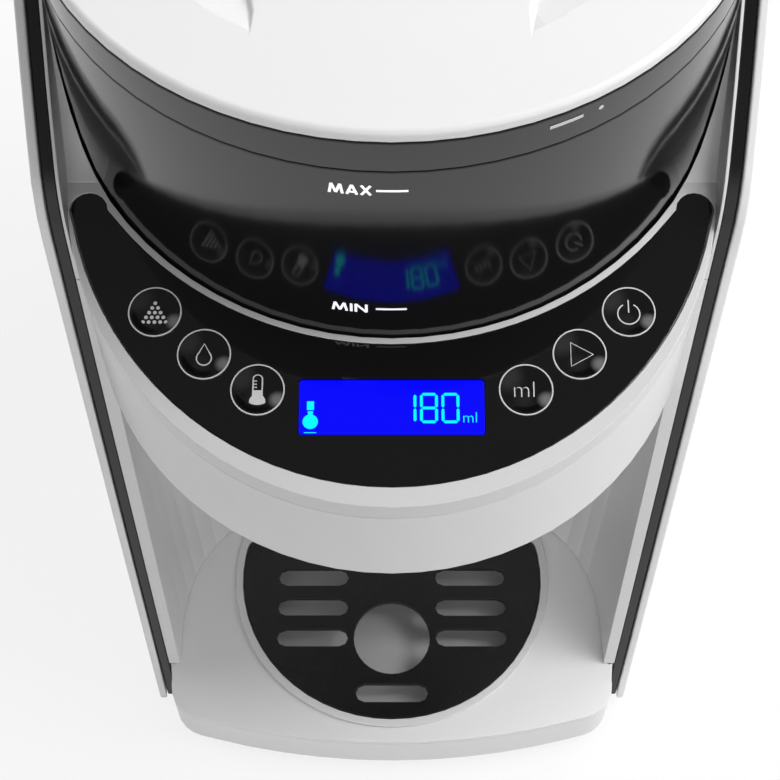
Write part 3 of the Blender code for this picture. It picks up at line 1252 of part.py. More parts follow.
def build_funnel():
    """Powder chute and water nozzle in the head, and the funnel that slides out below them."""
    top = CRADLE_BOTTOM - SEAT_GAP
    bottom = BOWL_BOTTOM + BOWL_FLOOR + SEAT_GAP
    start_y, end_y = -OUTLET_REACH, -OUTLET_REACH - CHUTE_RUN
    bends = [(0, start_y, top - OVERRUN), (0, end_y, bottom + OVERRUN)]
    route = [(0, start_y, top)] + bends + [(0, end_y, bottom)]
    chute = pipe("chute", route, OUTLET_RADIUS + RUN_GAP + CHUTE_WALL, CHUTE_STEPS)
    route = [(0, start_y, top + OVERRUN)] + bends + [(0, end_y, bottom - OVERRUN)]
    cut(chute, pipe("chute_bore", route, OUTLET_RADIUS + RUN_GAP, CHUTE_STEPS))
    part(chute, "powder_chute", "smoke")

    nozzle_low = BOWL_BOTTOM + SEAT_GAP
    floor = BOWL_BOTTOM + BOWL_FLOOR + SEAT_GAP
    nozzle_top = floor + NOZZLE_HEIGHT
    flange = NOZZLE_RADIUS * 2
    bore = NOZZLE_RADIUS / 2
    flange_top = floor + CHUTE_WALL
    profile = [(NOZZLE_RADIUS, nozzle_top), (NOZZLE_RADIUS, flange_top), (flange, flange_top)]
    profile += [(flange, floor), (NOZZLE_RADIUS, floor), (NOZZLE_RADIUS, nozzle_low)]
    profile += [(bore, nozzle_low), (bore, nozzle_top)]
    part(turned("nozzle", profile, SMALL_SIDES, (NOZZLE_X, FUNNEL_Y)), "water_nozzle", "steel")

    rim_top = BOWL_BOTTOM - SEAT_GAP
    rim_low = rim_top - FUNNEL_RIM_HEIGHT
    rim = FUNNEL_RADIUS + FUNNEL_RIM
    end = rim_top - FUNNEL_HEIGHT
    collar_low = holder_low() - SEAT_GAP
    neck = end + FUNNEL_HEIGHT * FUNNEL_NECK_SHARE
    spout = FUNNEL_SPOUT + FUNNEL_WALL
    room = FUNNEL_RADIUS - FUNNEL_WALL
    profile = [(rim, rim_top), (rim, rim_low), (FUNNEL_RADIUS, rim_low), (FUNNEL_RADIUS, collar_low)]
    profile += [(spout, neck), (spout, end), (FUNNEL_SPOUT, end), (FUNNEL_SPOUT, neck)]
    profile += [(room, collar_low + FUNNEL_WALL / 2), (room, rim_top)]
    part(turned("funnel", profile, ROUND_SIDES, (0, FUNNEL_Y)), "mixing_funnel", "smoke")

    low = holder_low()
    half = HOLDER_HALF_WIDTH
    front, back = FUNNEL_Y - HOLDER_REACH, FUNNEL_Y + HOLDER_BACK
    corners = [(-half, back), (-half, front), (half, front), (half, back)]
    inner_radius = FUNNEL_RADIUS + SEAT_GAP
    mouth = math.degrees(math.asin(HOLDER_BACK / inner_radius))
    inner = arc((0, FUNNEL_Y), inner_radius, mouth, -180 - mouth, ROUND_SIDES)
    outline = rounded(corners, [0, HOLDER_REACH / 2, HOLDER_REACH / 2, 0])
    holder = prism("holder", [outline + [(x, min(y, back)) for x, y in inner]], low, low + HOLDER_WALL)
    part(holder, "funnel_holder", "pale")


def tank_loop(inset):
    """Outline of the water tank between the panels, flat in front."""
    run = side_run(TANK_FRONT + inset, REAR_REACH - REAR_CORNER, TRIM_INSET + inset, TANK_STEPS)
    rear = rear_run(TRIM_INSET + inset, TANK_REAR_INSET + inset)
    return mirrored(run[:-1] + rear)


def inlet_block(name, inset, back, face):
    """The power inlet's box, moved inwards all around by an inset."""
    centre_z = HOUSING_BOTTOM + INLET_RISE
    half_x, half_z = INLET_HALF_X - inset, INLET_HALF_Z - inset
    low = (INLET_X - half_x, back, centre_z - half_z)
    return block(name, low, (INLET_X + half_x, face, centre_z + half_z))


def build_tank():
    """Rear cover with the dock, and the water tank with its valve and hinged lid."""
    wall = SHELL_WALL
    rear_start = PANEL_REAR + SEAT_GAP
    outer_half = [(side_at(HOUSING_REAR, TRIM_INSET), HOUSING_REAR + SEAT_GAP)]
    outer_half += [(side_at(rear_start, TRIM_INSET), rear_start - STEP_SLOPE)]
    outer_half += [(side_at(rear_start), rear_start)] + rear_run(0, 0)
    cover = lean(prism("rear", [mirrored(outer_half)], HOUSING_BOTTOM, DOCK_TOP))
    inner_half = [(side_at(HOUSING_REAR, TRIM_INSET + wall), HOUSING_REAR - wall)]
    inner_half += [(side_at(rear_start, TRIM_INSET + wall), rear_start + wall)]
    inner_half += rear_run(wall + TRIM_INSET / 2, wall)
    room_low, room_top = HOUSING_BOTTOM - OVERRUN, DOCK_TOP - DOCK_WALL
    cut(cover, lean(prism("rear_room", [mirrored(inner_half)], room_low, room_top)))
    spout_hole = SPOUT_RADIUS + SEAT_GAP
    cut(cover, rod("spout_hole", spout_hole, DOCK_TOP - OVERRUN, DOCK_TOP + OVERRUN, (0, SPOUT_Y)))
    inlet_face = REAR_REACH - SEAT_GAP
    hole_back, hole_face = REAR_REACH - INLET_DEPTH, REAR_REACH + OVERRUN
    cut(cover, inlet_block("inlet_hole", -SEAT_GAP, hole_back, hole_face))
    part(cover, "rear_cover", "white")

    socket = inlet_block("socket", 0, inlet_face - INLET_DEPTH, inlet_face)
    cut(socket, inlet_block("socket_well", TRIM_WALL, inlet_face - INLET_WELL, inlet_face + OVERRUN))
    part(socket, "power_inlet", "black")

    seat_low = DOCK_TOP + SEAT_GAP
    seat_top = seat_low + SEAT_HEIGHT
    spout_low = seat_low - SPOUT_DROP
    profile = [(SEAT_RADIUS, seat_top), (SEAT_RADIUS, seat_low), (SPOUT_RADIUS, seat_low)]
    profile += [(SPOUT_RADIUS, spout_low), (SPOUT_BORE, spout_low), (SPOUT_BORE, seat_top)]
    part(turned("seat", profile, SMALL_SIDES, (0, SPOUT_Y)), "dock_seat", "silicone")

    tank_low = seat_top + SEAT_GAP
    tank_top = BODY_TOP - TANK_TOP_DROP
    tank = lean(prism("tank", [tank_loop(0)], tank_low, tank_top))
    cut(tank, lean(prism("tank_room", [tank_loop(TANK_WALL)], tank_low + TANK_FLOOR, tank_top + OVERRUN)))
    hole_low, hole_top = tank_low - OVERRUN, tank_low + OVERRUN
    cut(tank, rod("valve_hole", VALVE_RADIUS + SEAT_GAP, hole_low, hole_top, (0, SPOUT_Y)))
    axis_y = REAR_REACH - HINGE_RADIUS
    axis_z = tank_top + TANK_LID_HEIGHT / 2
    wall_y = REAR_REACH - TANK_REAR_INSET
    for side in (-1, 1):
        ends = sorted((side * (HINGE_HALF + RUN_GAP), side * (HINGE_HALF + RUN_GAP + HINGE_EAR)))
        ear_low, ear_top = tank_top - HINGE_EAR, axis_z + HINGE_RADIUS
        ear_in, ear_front = wall_y - TANK_WALL / 2, axis_y - HINGE_RADIUS
        ear_loop = [(ear_in, ear_low), (REAR_REACH, ear_low + HINGE_RADIUS), (REAR_REACH, ear_top)]
        ear_loop += [(ear_front, ear_top), (ear_front, tank_top - SEAT_GAP), (ear_in, tank_top - SEAT_GAP)]
        join(tank, side_prism(f"ear_{side}", [ear_loop], *ends))
    pin_hole = circle(HINGE_PIN + SEAT_GAP, (axis_y, axis_z), FINE_SIDES)
    cut(tank, side_prism("hinge_hole", [pin_hole], -HINGE_HALF * 2, HINGE_HALF * 2))
    part(tank, "water_tank", "clear")

    lid_low = tank_top + SEAT_GAP
    lid_inset = TANK_WALL / 4
    lid = lean(prism("tank_cover", [tank_loop(lid_inset)], lid_low, lid_low + TANK_LID_HEIGHT))
    room_y = axis_y - HINGE_RADIUS * HINGE_SWING_SHARE - RUN_GAP
    for side in (-1, 1):
        ends = sorted((side * HINGE_HALF, side * (HINGE_HALF + HINGE_EAR + RUN_GAP * 2)))
        cut(lid, block(f"ear_room_{side}", (ends[0], room_y, lid_low - OVERRUN), (ends[1], FAR, FAR)))
    knuckle_end = HINGE_HALF - SEAT_GAP
    knuckle_loop = circle(HINGE_RADIUS - SEAT_GAP, (axis_y, axis_z), FINE_SIDES)
    knuckle = side_prism("knuckle", [knuckle_loop], -knuckle_end, knuckle_end)
    web_half = HINGE_RADIUS / 2
    web_end = knuckle_end - RUN_GAP
    web_low = (-web_end, wall_y - TANK_WALL * 2, axis_z - web_half)
    join(lid, knuckle, block("knuckle_web", web_low, (web_end, axis_y - web_half, axis_z + web_half)))
    cut(lid, side_prism("lid_hole", [pin_hole], -HINGE_HALF * 2, HINGE_HALF * 2))
    part(lid, "tank_lid", "smoke", origin=(0, axis_y, axis_z))
    pin_end = HINGE_HALF + HINGE_EAR
    pin = side_prism("pin", [circle(HINGE_PIN, (axis_y, axis_z), PIN_SIDES)], -pin_end, pin_end)
    part(pin, "hinge_pin", "steel")

    valve_low = tank_low
    head_low = tank_low + TANK_FLOOR + SEAT_GAP
    profile = [(0, head_low + VALVE_HEIGHT), (VALVE_HEAD, head_low + VALVE_HEIGHT), (VALVE_HEAD, head_low)]
    profile += [(VALVE_RADIUS, head_low), (VALVE_RADIUS, valve_low), (0, valve_low)]
    part(turned("valve", profile, SMALL_SIDES, (0, SPOUT_Y)), "tank_valve", "grey")


def build_water():
    """Pump, heater, power board and the tubes between them."""
    floor = DECK_TOP + SEAT_GAP
    pump_top = floor + PUMP_HEIGHT
    pump = rod("pump", PUMP_RADIUS, floor, pump_top, (PUMP_X, PUMP_Y))
    neck_top = pump_top + SHELL_WALL
    join(pump, rod("pump_neck", TUBE_RADIUS, pump_top - SHELL_WALL, neck_top, (PUMP_X, PUMP_Y)))
    side_z = floor + PUMP_HEIGHT / 2
    port = [(PUMP_X, PUMP_Y, side_z), (PUMP_X + PUMP_RADIUS + SHELL_WALL, PUMP_Y, side_z)]
    join(pump, pipe("pump_port", port, TUBE_RADIUS, PORT_STEPS))
    part(pump, "water_pump", "grey")

    seat_end = DOCK_TOP + SEAT_GAP - SPOUT_DROP
    drop = (seat_end - neck_top) / 2
    start = (0, SPOUT_Y, seat_end - SEAT_GAP)
    points = [start, (0, SPOUT_Y, seat_end - drop / 2)]
    points.append((PUMP_X * FEED_START_SHARE, SPOUT_Y, neck_top + drop))
    points.append((PUMP_X * FEED_END_SHARE, PUMP_Y, neck_top + drop))
    points.append((PUMP_X, PUMP_Y, neck_top + drop * FEED_DROP_SHARE))
    points.append((PUMP_X, PUMP_Y, neck_top + SEAT_GAP))
    part(pipe("feed", curved(points), TUBE_RADIUS), "feed_tube", "silicone")

    heater_top = floor + HEATER_HEIGHT
    neck, dome = heater_top + HEATER_NECK, HEATER_RADIUS * HEATER_DOME_SHARE
    profile = [(0, neck), (TUBE_RADIUS, neck), (TUBE_RADIUS, heater_top), (dome, heater_top)]
    profile += [(HEATER_RADIUS, heater_top - HEATER_NECK), (HEATER_RADIUS, floor), (0, floor)]
    heater = turned("heater", profile, SMALL_SIDES, (HEATER_X, HEATER_Y))
    inlet_z = floor + HEATER_NECK * 2
    port_end = HEATER_X - HEATER_RADIUS - HEATER_NECK
    port = [(HEATER_X, HEATER_Y, inlet_z), (port_end, HEATER_Y, inlet_z)]
    join(heater, pipe("heater_port", port, TUBE_RADIUS, PORT_STEPS))
    part(heater, "heater_tank", "steel")

    wall_z = DOCK_TOP * TUBE_ENTRY_SHARE
    pump_side = PUMP_X + PUMP_RADIUS + SHELL_WALL + SEAT_GAP
    heater_side = port_end - SEAT_GAP
    middle = PUMP_X / 2
    bend = TUBE_RADIUS * 2
    points = [(pump_side, PUMP_Y, side_z), (middle - TUBE_RADIUS, PUMP_Y, side_z)]
    points.append((middle, PUMP_Y - bend, (side_z + wall_z) / 2))
    points.append((middle, HOUSING_REAR + OVERRUN / 2, wall_z))
    points.append((middle, HOUSING_REAR - OVERRUN, wall_z))
    points.append((middle, HEATER_Y + HEATER_RADIUS * 2, wall_z))
    points.append((middle + bend, HEATER_Y + bend, inlet_z))
    points.append((heater_side - TUBE_RADIUS - bend, HEATER_Y, inlet_z))
    points.append((heater_side, HEATER_Y, inlet_z))
    part(pipe("pump_line", curved(points), TUBE_RADIUS), "pump_tube", "silicone")

    level = hot_level()
    nozzle_top = BOWL_BOTTOM + BOWL_FLOOR + SEAT_GAP + NOZZLE_HEIGHT
    start_z = neck + SEAT_GAP
    wall_y = edge_y(level)
    points = [(HEATER_X, HEATER_Y, start_z), (HEATER_X, HEATER_Y, start_z + HEATER_RADIUS)]
    points.append((HEATER_X, HEATER_Y - HEATER_RADIUS * 2, level - HEATER_NECK))
    points.append((NOZZLE_X + HEATER_NECK, wall_y + OVERRUN * 3, level))
    points += [(NOZZLE_X, wall_y + OVERRUN, level), (NOZZLE_X, wall_y - OVERRUN, level)]
    points.append((NOZZLE_X, FUNNEL_Y + NOZZLE_RADIUS * 3, level))
    points.append((NOZZLE_X, FUNNEL_Y, level - NOZZLE_RADIUS))
    points.append((NOZZLE_X, FUNNEL_Y, nozzle_top + SEAT_GAP))
    part(pipe("hot_line", curved(points), TUBE_RADIUS), "hot_tube", "silicone")

    board_low = floor + BOARD_LEG
    low = (BOARD_X - BOARD_HALF_X, BOARD_Y - BOARD_HALF_Y, board_low)
    high = (BOARD_X + BOARD_HALF_X, BOARD_Y + BOARD_HALF_Y, board_low + BOARD_THICKNESS)
    board = block("mains", low, high)
    lift = board_low + BOARD_THICKNESS / 2
    for x in (low[0] + BOARD_LEG, high[0] - BOARD_LEG):
        for y in (low[1] + BOARD_LEG, high[1] - BOARD_LEG):
            join(board, rod("board_leg", BOARD_LEG / 2, floor, lift, (x, y), PIN_SIDES))
    coil_low = (low[0] + BOARD_LEG, low[1] + BOARD_LEG * 2, lift)
    join(board, block("transformer", coil_low, (BOARD_X, BOARD_Y, lift + BOARD_LEG * 3)))
    can_place = (BOARD_X + BOARD_LEG * 2, BOARD_Y - BOARD_LEG * 4)
    join(board, rod("capacitor", BOARD_LEG, lift, lift + BOARD_LEG * 4, can_place, FINE_SIDES))
    relay_low = (BOARD_X - BOARD_LEG * 3, BOARD_Y + BOARD_LEG * 2, lift)
    relay_high = (BOARD_X, BOARD_Y + BOARD_LEG * 4, lift + BOARD_LEG * 2)
    join(board, block("relay", relay_low, relay_high))
    part(board, "power_board", "board")


def curved(points, share=TUBE_BEND_SHARE):
    """A route with each inner corner replaced by a short curve."""
    route = [Vector(points[0])]
    for before, here, after in zip(points, points[1:], points[2:]):
        before, here, after = Vector(before), Vector(here), Vector(after)
        first = here.lerp(before, share)
        last = here.lerp(after, share)
        for step in range(BEND_STEPS + 1):
            part_way = step / BEND_STEPS
            route.append(first.lerp(here, part_way).lerp(here.lerp(last, part_way), part_way))
    route.append(Vector(points[-1]))
    return route


def main():
    for item in list(bpy.data.objects):
        bpy.data.objects.remove(item)
    build_base()
    build_tray()
    build_housing()
    build_head()
    build_panel()
    build_container()
    build_drive()
    build_funnel()
    build_tank()
    build_water()


main()
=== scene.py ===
"""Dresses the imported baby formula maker: finishes, rounded edges, keys, display, prints and a studio."""

from __future__ import annotations

import json
import logging
import math
from contextlib import contextmanager
from dataclasses import dataclass
from enum import Enum
from typing import Any, Callable, Iterator, Sequence

import bpy
from mathutils import Matrix, Vector

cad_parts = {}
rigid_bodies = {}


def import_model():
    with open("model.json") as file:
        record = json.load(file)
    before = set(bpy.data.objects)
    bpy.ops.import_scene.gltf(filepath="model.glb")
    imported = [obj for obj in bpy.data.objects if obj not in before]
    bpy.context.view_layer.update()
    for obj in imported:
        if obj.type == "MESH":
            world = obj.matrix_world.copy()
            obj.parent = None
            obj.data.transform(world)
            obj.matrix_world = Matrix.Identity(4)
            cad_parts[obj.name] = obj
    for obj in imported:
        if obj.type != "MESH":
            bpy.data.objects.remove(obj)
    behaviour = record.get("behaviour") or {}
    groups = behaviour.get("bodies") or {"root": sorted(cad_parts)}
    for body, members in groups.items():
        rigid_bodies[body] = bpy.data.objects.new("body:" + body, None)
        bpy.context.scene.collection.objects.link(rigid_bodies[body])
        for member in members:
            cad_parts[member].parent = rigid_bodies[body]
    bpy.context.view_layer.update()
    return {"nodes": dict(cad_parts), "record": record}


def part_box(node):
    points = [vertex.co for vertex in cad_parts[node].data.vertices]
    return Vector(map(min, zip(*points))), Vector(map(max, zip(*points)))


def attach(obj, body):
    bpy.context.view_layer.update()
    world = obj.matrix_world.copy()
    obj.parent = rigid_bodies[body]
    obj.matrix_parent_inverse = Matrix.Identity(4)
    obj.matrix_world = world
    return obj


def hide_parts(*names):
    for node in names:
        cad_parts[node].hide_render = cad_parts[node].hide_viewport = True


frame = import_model()
LOG = logging.getLogger("formula_maker")
MM = 0.001
Point = tuple[float, float]
Colour = tuple[float, float, float, float]
Piece = bpy.types.Object
Tree = bpy.types.NodeTree
Node = bpy.types.Node
Socket = bpy.types.NodeSocket

# The sRGB curve: a straight foot up to the knee, and a power above it
FULL_BYTE = 255
SRGB_KNEE, SRGB_SLOPE, SRGB_OFFSET, SRGB_POWER = 0.04045, 12.92, 0.055, 2.4

# The photograph: its side and focal length in its own pixels, and the sensor that the lens is given for
PHOTO_SIDE, PHOTO_FOCAL, SENSOR = 780, 1700, 36.0


# Small helpers for colours and nodes


def linear(code: str) -> Colour:
    """Turn an sRGB hex colour into a linear one.

    Args:
        code: The colour as "#RRGGBB".
    Returns:
        Linear red, green and blue, and full alpha.
    """
    red, green, blue = (
        part / SRGB_SLOPE if part <= SRGB_KNEE else ((part + SRGB_OFFSET) / (1 + SRGB_OFFSET)) ** SRGB_POWER
        for part in (int(code[start : start + 2], 16) / FULL_BYTE for start in (1, 3, 5))
    )
    return (red, green, blue, 1.0)


def add_node(tree: Tree, kind: str, inputs: dict[Any, Any], **settings: Any) -> Node:
    """Add a shader node with its settings, constants and links.

    Args:
        tree: The node tree that takes it.
        kind: The node's type, without its ShaderNode.
        inputs: For an input's name or number: a constant, a socket, or a node for its first output.
        settings: The node's own properties.
    Returns:
        The new node.
    """
    node = tree.nodes.new(f"ShaderNode{kind}")
    for key, value in settings.items():
        setattr(node, key, value)
    for key, value in inputs.items():
        if isinstance(value, Node):
            value = value.outputs[0]
        if isinstance(value, Socket):
            tree.links.new(value, node.inputs[key])
        else:
            node.inputs[key].default_value = value
    return node


# Finishes: each is one real material and the way its surface was made


@dataclass(frozen=True)
class Finish:
    """What every finish has: a name, a colour, and a material made once."""

    name: str
    colour: str

    def shader(self, tree: Tree, place: Socket) -> Node:
        """Build the surface's nodes.

        Args:
            tree: The material's node tree.
            place: Where a point lies on the machine, in metres.
        Returns:
            The surface's last node.
        """
        raise NotImplementedError

    def material(self) -> bpy.types.Material:
        """Make the material, or return it where it is made already."""
        made = bpy.data.materials.get(self.name)
        if made is not None:
            return made
        made = bpy.data.materials.new(self.name)
        made.use_nodes = True
        tree = made.node_tree
        tree.nodes.clear()
        place = add_node(tree, "TexCoord", {}).outputs["Object"]
        add_node(tree, "OutputMaterial", {"Surface": self.shader(tree, place)})
        return made

    def put_on(self, piece: Piece) -> None:
        """Give a piece this finish alone.

        Args:
            piece: The mesh that takes it.
        """
        slots = piece.data.materials
        if not slots:
            slots.append(None)
        for index in range(len(slots)):
            slots[index] = self.material()


@dataclass(frozen=True)
class TwoTone(Finish):
    """A finish whose tone drifts between two, its gloss uneven and its face finely dented."""

    deep: str
    roughness: float
    # The part of a pattern from 0 to 1 that counts, and how far it takes the roughness at either end
    window: Point = (0.3, 0.7)
    uneven: Point = (0.0, 0.04)
    # How deep the dents are, and how strongly they tell
    relief: float = 0.02 * MM
    dent: float = 0.25

    def skin(self, tree: Tree, drift: Node, haze: Node | None, dents: Node, body: dict[str, Any]) -> Node:
        """Mix the two tones, vary the gloss and dent the face, as all of these finishes do.

        Args:
            tree: The material's node tree.
            drift: The pattern that mixes the tones.
            haze: The pattern that the roughness follows, or None where it is even.
            dents: The pattern of the face's dents.
            body: The finish's own values for the shader.
        Returns:
            The surface's last node.
        """
        tones = {0: drift, 6: linear(self.colour), 7: linear(self.deep)}
        tone = add_node(tree, "Mix", tones, data_type="RGBA")
        rough: Any = self.roughness
        if haze is not None:
            span = {"Value": haze, "From Min": self.window[0], "From Max": self.window[1]}
            span |= {"To Min": rough + self.uneven[0], "To Max": rough + self.uneven[1]}
            rough = add_node(tree, "MapRange", span)
        bump = add_node(tree, "Bump", {"Strength": self.dent, "Distance": self.relief, "Height": dents})
        shared = {"Base Color": tone.outputs[2], "Roughness": rough, "Normal": bump}
        return add_node(tree, "BsdfPrincipled", shared | body)


@dataclass(frozen=True)
class MouldedAbs(TwoTone):
    """ABS moulded in a finely spark-eroded tool: an even satin face whose tone drifts with the wall."""

    uneven: Point = (-0.03, 0.04)
    relief: float = 0.012 * MM
    dent: float = 0.5
    ior: float = 1.53
    grain: float = 0.6 * MM
    drift: float = 55 * MM

    def shader(self, tree: Tree, place: Socket) -> Node:
        """Satin plastic; the grit is 0.1 mm in the tool and drawn at 0.6 mm, the finest that shows.

        Args:
            tree: The material's node tree.
            place: Where a point lies on the machine, in metres.
        Returns:
            The surface's last node.
        """
        cloud = add_node(tree, "TexNoise", {"Vector": place, "Scale": 1 / self.drift, "Detail": 2.0})
        grit = add_node(tree, "TexNoise", {"Vector": place, "Scale": 1 / self.grain, "Detail": 3.0})
        return self.skin(tree, cloud, grit, grit, {"IOR": self.ior})


@dataclass(frozen=True)
class PolishedPlastic(TwoTone):
    """Acrylic or ABS from a mirror-polished tool: sharp reflections that waver slightly with the cooling."""

    window: Point = (0.35, 0.75)
    uneven: Point = (0.0, 0.03)
    relief: float = 0.01 * MM
    dent: float = 0.3
    ior: float = 1.49
    ripple: float = 18 * MM
    handling: float = 40 * MM

    def shader(self, tree: Tree, place: Socket) -> Node:
        """Deep colour under a clear mirror face, with handling haze in soft patches.

        Args:
            tree: The material's node tree.
            place: Where a point lies on the machine, in metres.
        Returns:
            The surface's last node.
        """
        cloud = add_node(tree, "TexNoise", {"Vector": place, "Scale": 1 / self.ripple, "Detail": 1.0})
        haze = add_node(tree, "TexNoise", {"Vector": place, "Scale": 1 / self.handling, "Detail": 6.0})
        return self.skin(tree, cloud, haze, cloud, {"IOR": self.ior})


@dataclass(frozen=True)
class TintedClear(TwoTone):
    """Clear or smoked polycarbonate: light passes and is tinted, and the edge shows the wall's depth."""

    dent: float = 0.15
    ior: float = 1.58
    passing: float = 0.85
    stretch: tuple[float, float, float] = (90.0, 90.0, 8.0)

    def shader(self, tree: Tree, place: Socket) -> Node:
        """See-through plastic with faint flow lines along the way the tool was filled.

        Args:
            tree: The material's node tree.
            place: Where a point lies on the machine, in metres.
        Returns:
            The surface's last node.
        """
        long_way = add_node(tree, "Mapping", {"Vector": place, "Scale": self.stretch})
        flow = add_node(tree, "TexNoise", {"Vector": long_way, "Scale": 1.0, "Detail": 2.0})
        return self.skin(tree, flow, flow, flow, {"IOR": self.ior, "Transmission Weight": self.passing})


@dataclass(frozen=True)
class SoftRubber(TwoTone):
    """Moulded rubber or silicone: matt, with a fine bloom and no sharp light."""

    relief: float = 0.03 * MM
    dent: float = 0.4
    passing: float = 0.0
    patch: float = 5 * MM
    grain: float = 0.5 * MM

    def shader(self, tree: Tree, place: Socket) -> Node:
        """Soft matt face with a powdery bloom in patches of a few millimetres.

        Args:
            tree: The material's node tree.
            place: Where a point lies on the machine, in metres.
        Returns:
            The surface's last node.
        """
        bloom = add_node(tree, "TexNoise", {"Vector": place, "Scale": 1 / self.patch, "Detail": 5.0})
        grit = add_node(tree, "TexNoise", {"Vector": place, "Scale": 1 / self.grain, "Detail": 2.0})
        return self.skin(tree, bloom, None, grit, {"Transmission Weight": self.passing})


@dataclass(frozen=True)
class WorkedMetal(TwoTone):
    """Drawn steel or turned brass: fine parallel tool lines that stretch the light."""

    uneven: Point = (-0.06, 0.1)
    stretch: tuple[float, float, float] = (2500.0, 2500.0, 40.0)

    def shader(self, tree: Tree, place: Socket) -> Node:
        """Bare metal; the lines are 0.1 mm apart and drawn at 0.4 mm.

        Args:
            tree: The material's node tree.
            place: Where a point lies on the machine, in metres.
        Returns:
            The surface's last node.
        """
        along = add_node(tree, "Mapping", {"Vector": place, "Scale": self.stretch})
        lines = add_node(tree, "TexNoise", {"Vector": along, "Scale": 1.0, "Detail": 3.0})
        return self.skin(tree, lines, lines, lines, {"Metallic": 1.0})


@dataclass(frozen=True)
class PaintedHighlight:
    """A painted highlight on a key: a soft round patch, its place from the key's middle, reach, strength and
    colour.
    """

    x: float
    y: float
    reach: float
    strength: float
    colour: str


@dataclass(frozen=True)
class KeyCap(Finish):
    """Polished black acrylic key with painted highlights: a soft pale spot down to the right and dim grey
    patches across from it, standing in for its reflections.
    """

    centre: tuple[float, float, float]
    handling: float = 6 * MM
    # Painted highlights: a pale grey spot down to the right and two dim grey patches, standing in for the
    # cap's reflections
    painted_highlights: tuple[PaintedHighlight, ...] = (
        PaintedHighlight(6.1 * MM, -3.3 * MM, 3.4 * MM, 0.85, "#7C7C7C"),
        PaintedHighlight(-5.6 * MM, 4.4 * MM, 6.46 * MM, 0.8, "#2E2E2E"),
        PaintedHighlight(-0.8 * MM, -3.0 * MM, 4.08 * MM, 0.35, "#2E2E2E"),
    )

    def shader(self, tree: Tree, place: Socket) -> Node:
        """Black cap with painted highlights in its base colour: one pale spot and a dim grey patch across
        from it.

        Args:
            tree: The material's node tree.
            place: Where a point lies on the machine, in metres.
        Returns:
            The surface's last node.
        """
        tone: Any = linear(self.colour)
        # Each painted highlight mixes its grey into the cap's black in a soft round patch
        for bloom in self.painted_highlights:
            middle = (self.centre[0] + bloom.x, self.centre[1] + bloom.y, self.centre[2])
            shift = [-value / bloom.reach for value in middle]
            turned = {"Vector": place, "Location": shift, "Scale": [1 / bloom.reach] * 3}
            local = add_node(tree, "Mapping", turned)
            ball = add_node(tree, "TexGradient", {"Vector": local}, gradient_type="SPHERICAL")
            edge = {"Value": ball.outputs[1], "From Max": 0.75, "To Max": bloom.strength}
            soft = add_node(tree, "MapRange", edge, interpolation_type="SMOOTHSTEP")
            tones = {0: soft, 6: tone, 7: linear(bloom.colour)}
            tone = add_node(tree, "Mix", tones, data_type="RGBA").outputs[2]
        haze = add_node(tree, "TexNoise", {"Vector": place, "Scale": 1 / self.handling, "Detail": 4.0})
        span = {"Value": haze, "From Min": 0.3, "From Max": 0.8, "To Min": 0.07, "To Max": 0.12}
        rough = add_node(tree, "MapRange", span)
        return add_node(tree, "BsdfPrincipled", {"Base Color": tone, "Roughness": rough, "IOR": 1.49})


@dataclass(frozen=True)
class LitPanel(Finish):
    """A backlit liquid crystal cell: an even coloured glow with the fine lines of its cells."""

    line: str
    pitch: float = 0.55 * MM
    line_width: float = 0.02 * MM

    def shader(self, tree: Tree, place: Socket) -> Node:
        """Glowing face; the cell lines are 0.3 mm apart and drawn at 0.55 mm.

        Args:
            tree: The material's node tree.
            place: Where a point lies on the machine, in metres.
        Returns:
            The surface's last node.
        """
        cells = {"Vector": place, "Scale": 1.0, "Mortar Size": self.line_width}
        cells |= {"Brick Width": self.pitch, "Row Height": self.pitch, "Mortar": linear(self.line)}
        cells |= {"Color1": linear(self.colour), "Color2": linear(self.colour)}
        grid = add_node(tree, "TexBrick", cells, offset=0.0)
        body = {"Base Color": linear("#020204"), "Roughness": 0.12, "Specular IOR Level": 0.25}
        body |= {"Emission Color": grid, "Emission Strength": 1.0}
        return add_node(tree, "BsdfPrincipled", body)


@dataclass(frozen=True)
class ScreenPrint(Finish):
    """Screen-printed ink, opaque and slightly uneven where the mesh left it thin."""

    thin: str
    # How strongly the ink glows: painted glow, 0.55 on the container's white level marks and 0.05 on the key
    # and lock prints
    lit: float = 0.0
    mesh: float = 0.4 * MM

    def shader(self, tree: Tree, place: Socket) -> Node:
        """Matt ink; lit prints carry a painted glow in their own colour, with no lamp behind them.

        Args:
            tree: The material's node tree.
            place: Where a point lies on the machine, in metres.
        Returns:
            The surface's last node.
        """
        mesh = add_node(tree, "TexNoise", {"Vector": place, "Scale": 1 / self.mesh, "Detail": 2.0})
        uneven = add_node(tree, "MapRange", {"Value": mesh, "From Min": 0.35, "From Max": 0.8, "To Max": 0.5})
        tones = {0: uneven, 6: linear(self.colour), 7: linear(self.thin)}
        tone = add_node(tree, "Mix", tones, data_type="RGBA").outputs[2]
        # Emission in the ink's colour is painted glow, not a lamp behind the print
        body = {"Base Color": tone, "Roughness": 0.5, "Emission Color": tone, "Emission Strength": self.lit}
        return add_node(tree, "BsdfPrincipled", body)


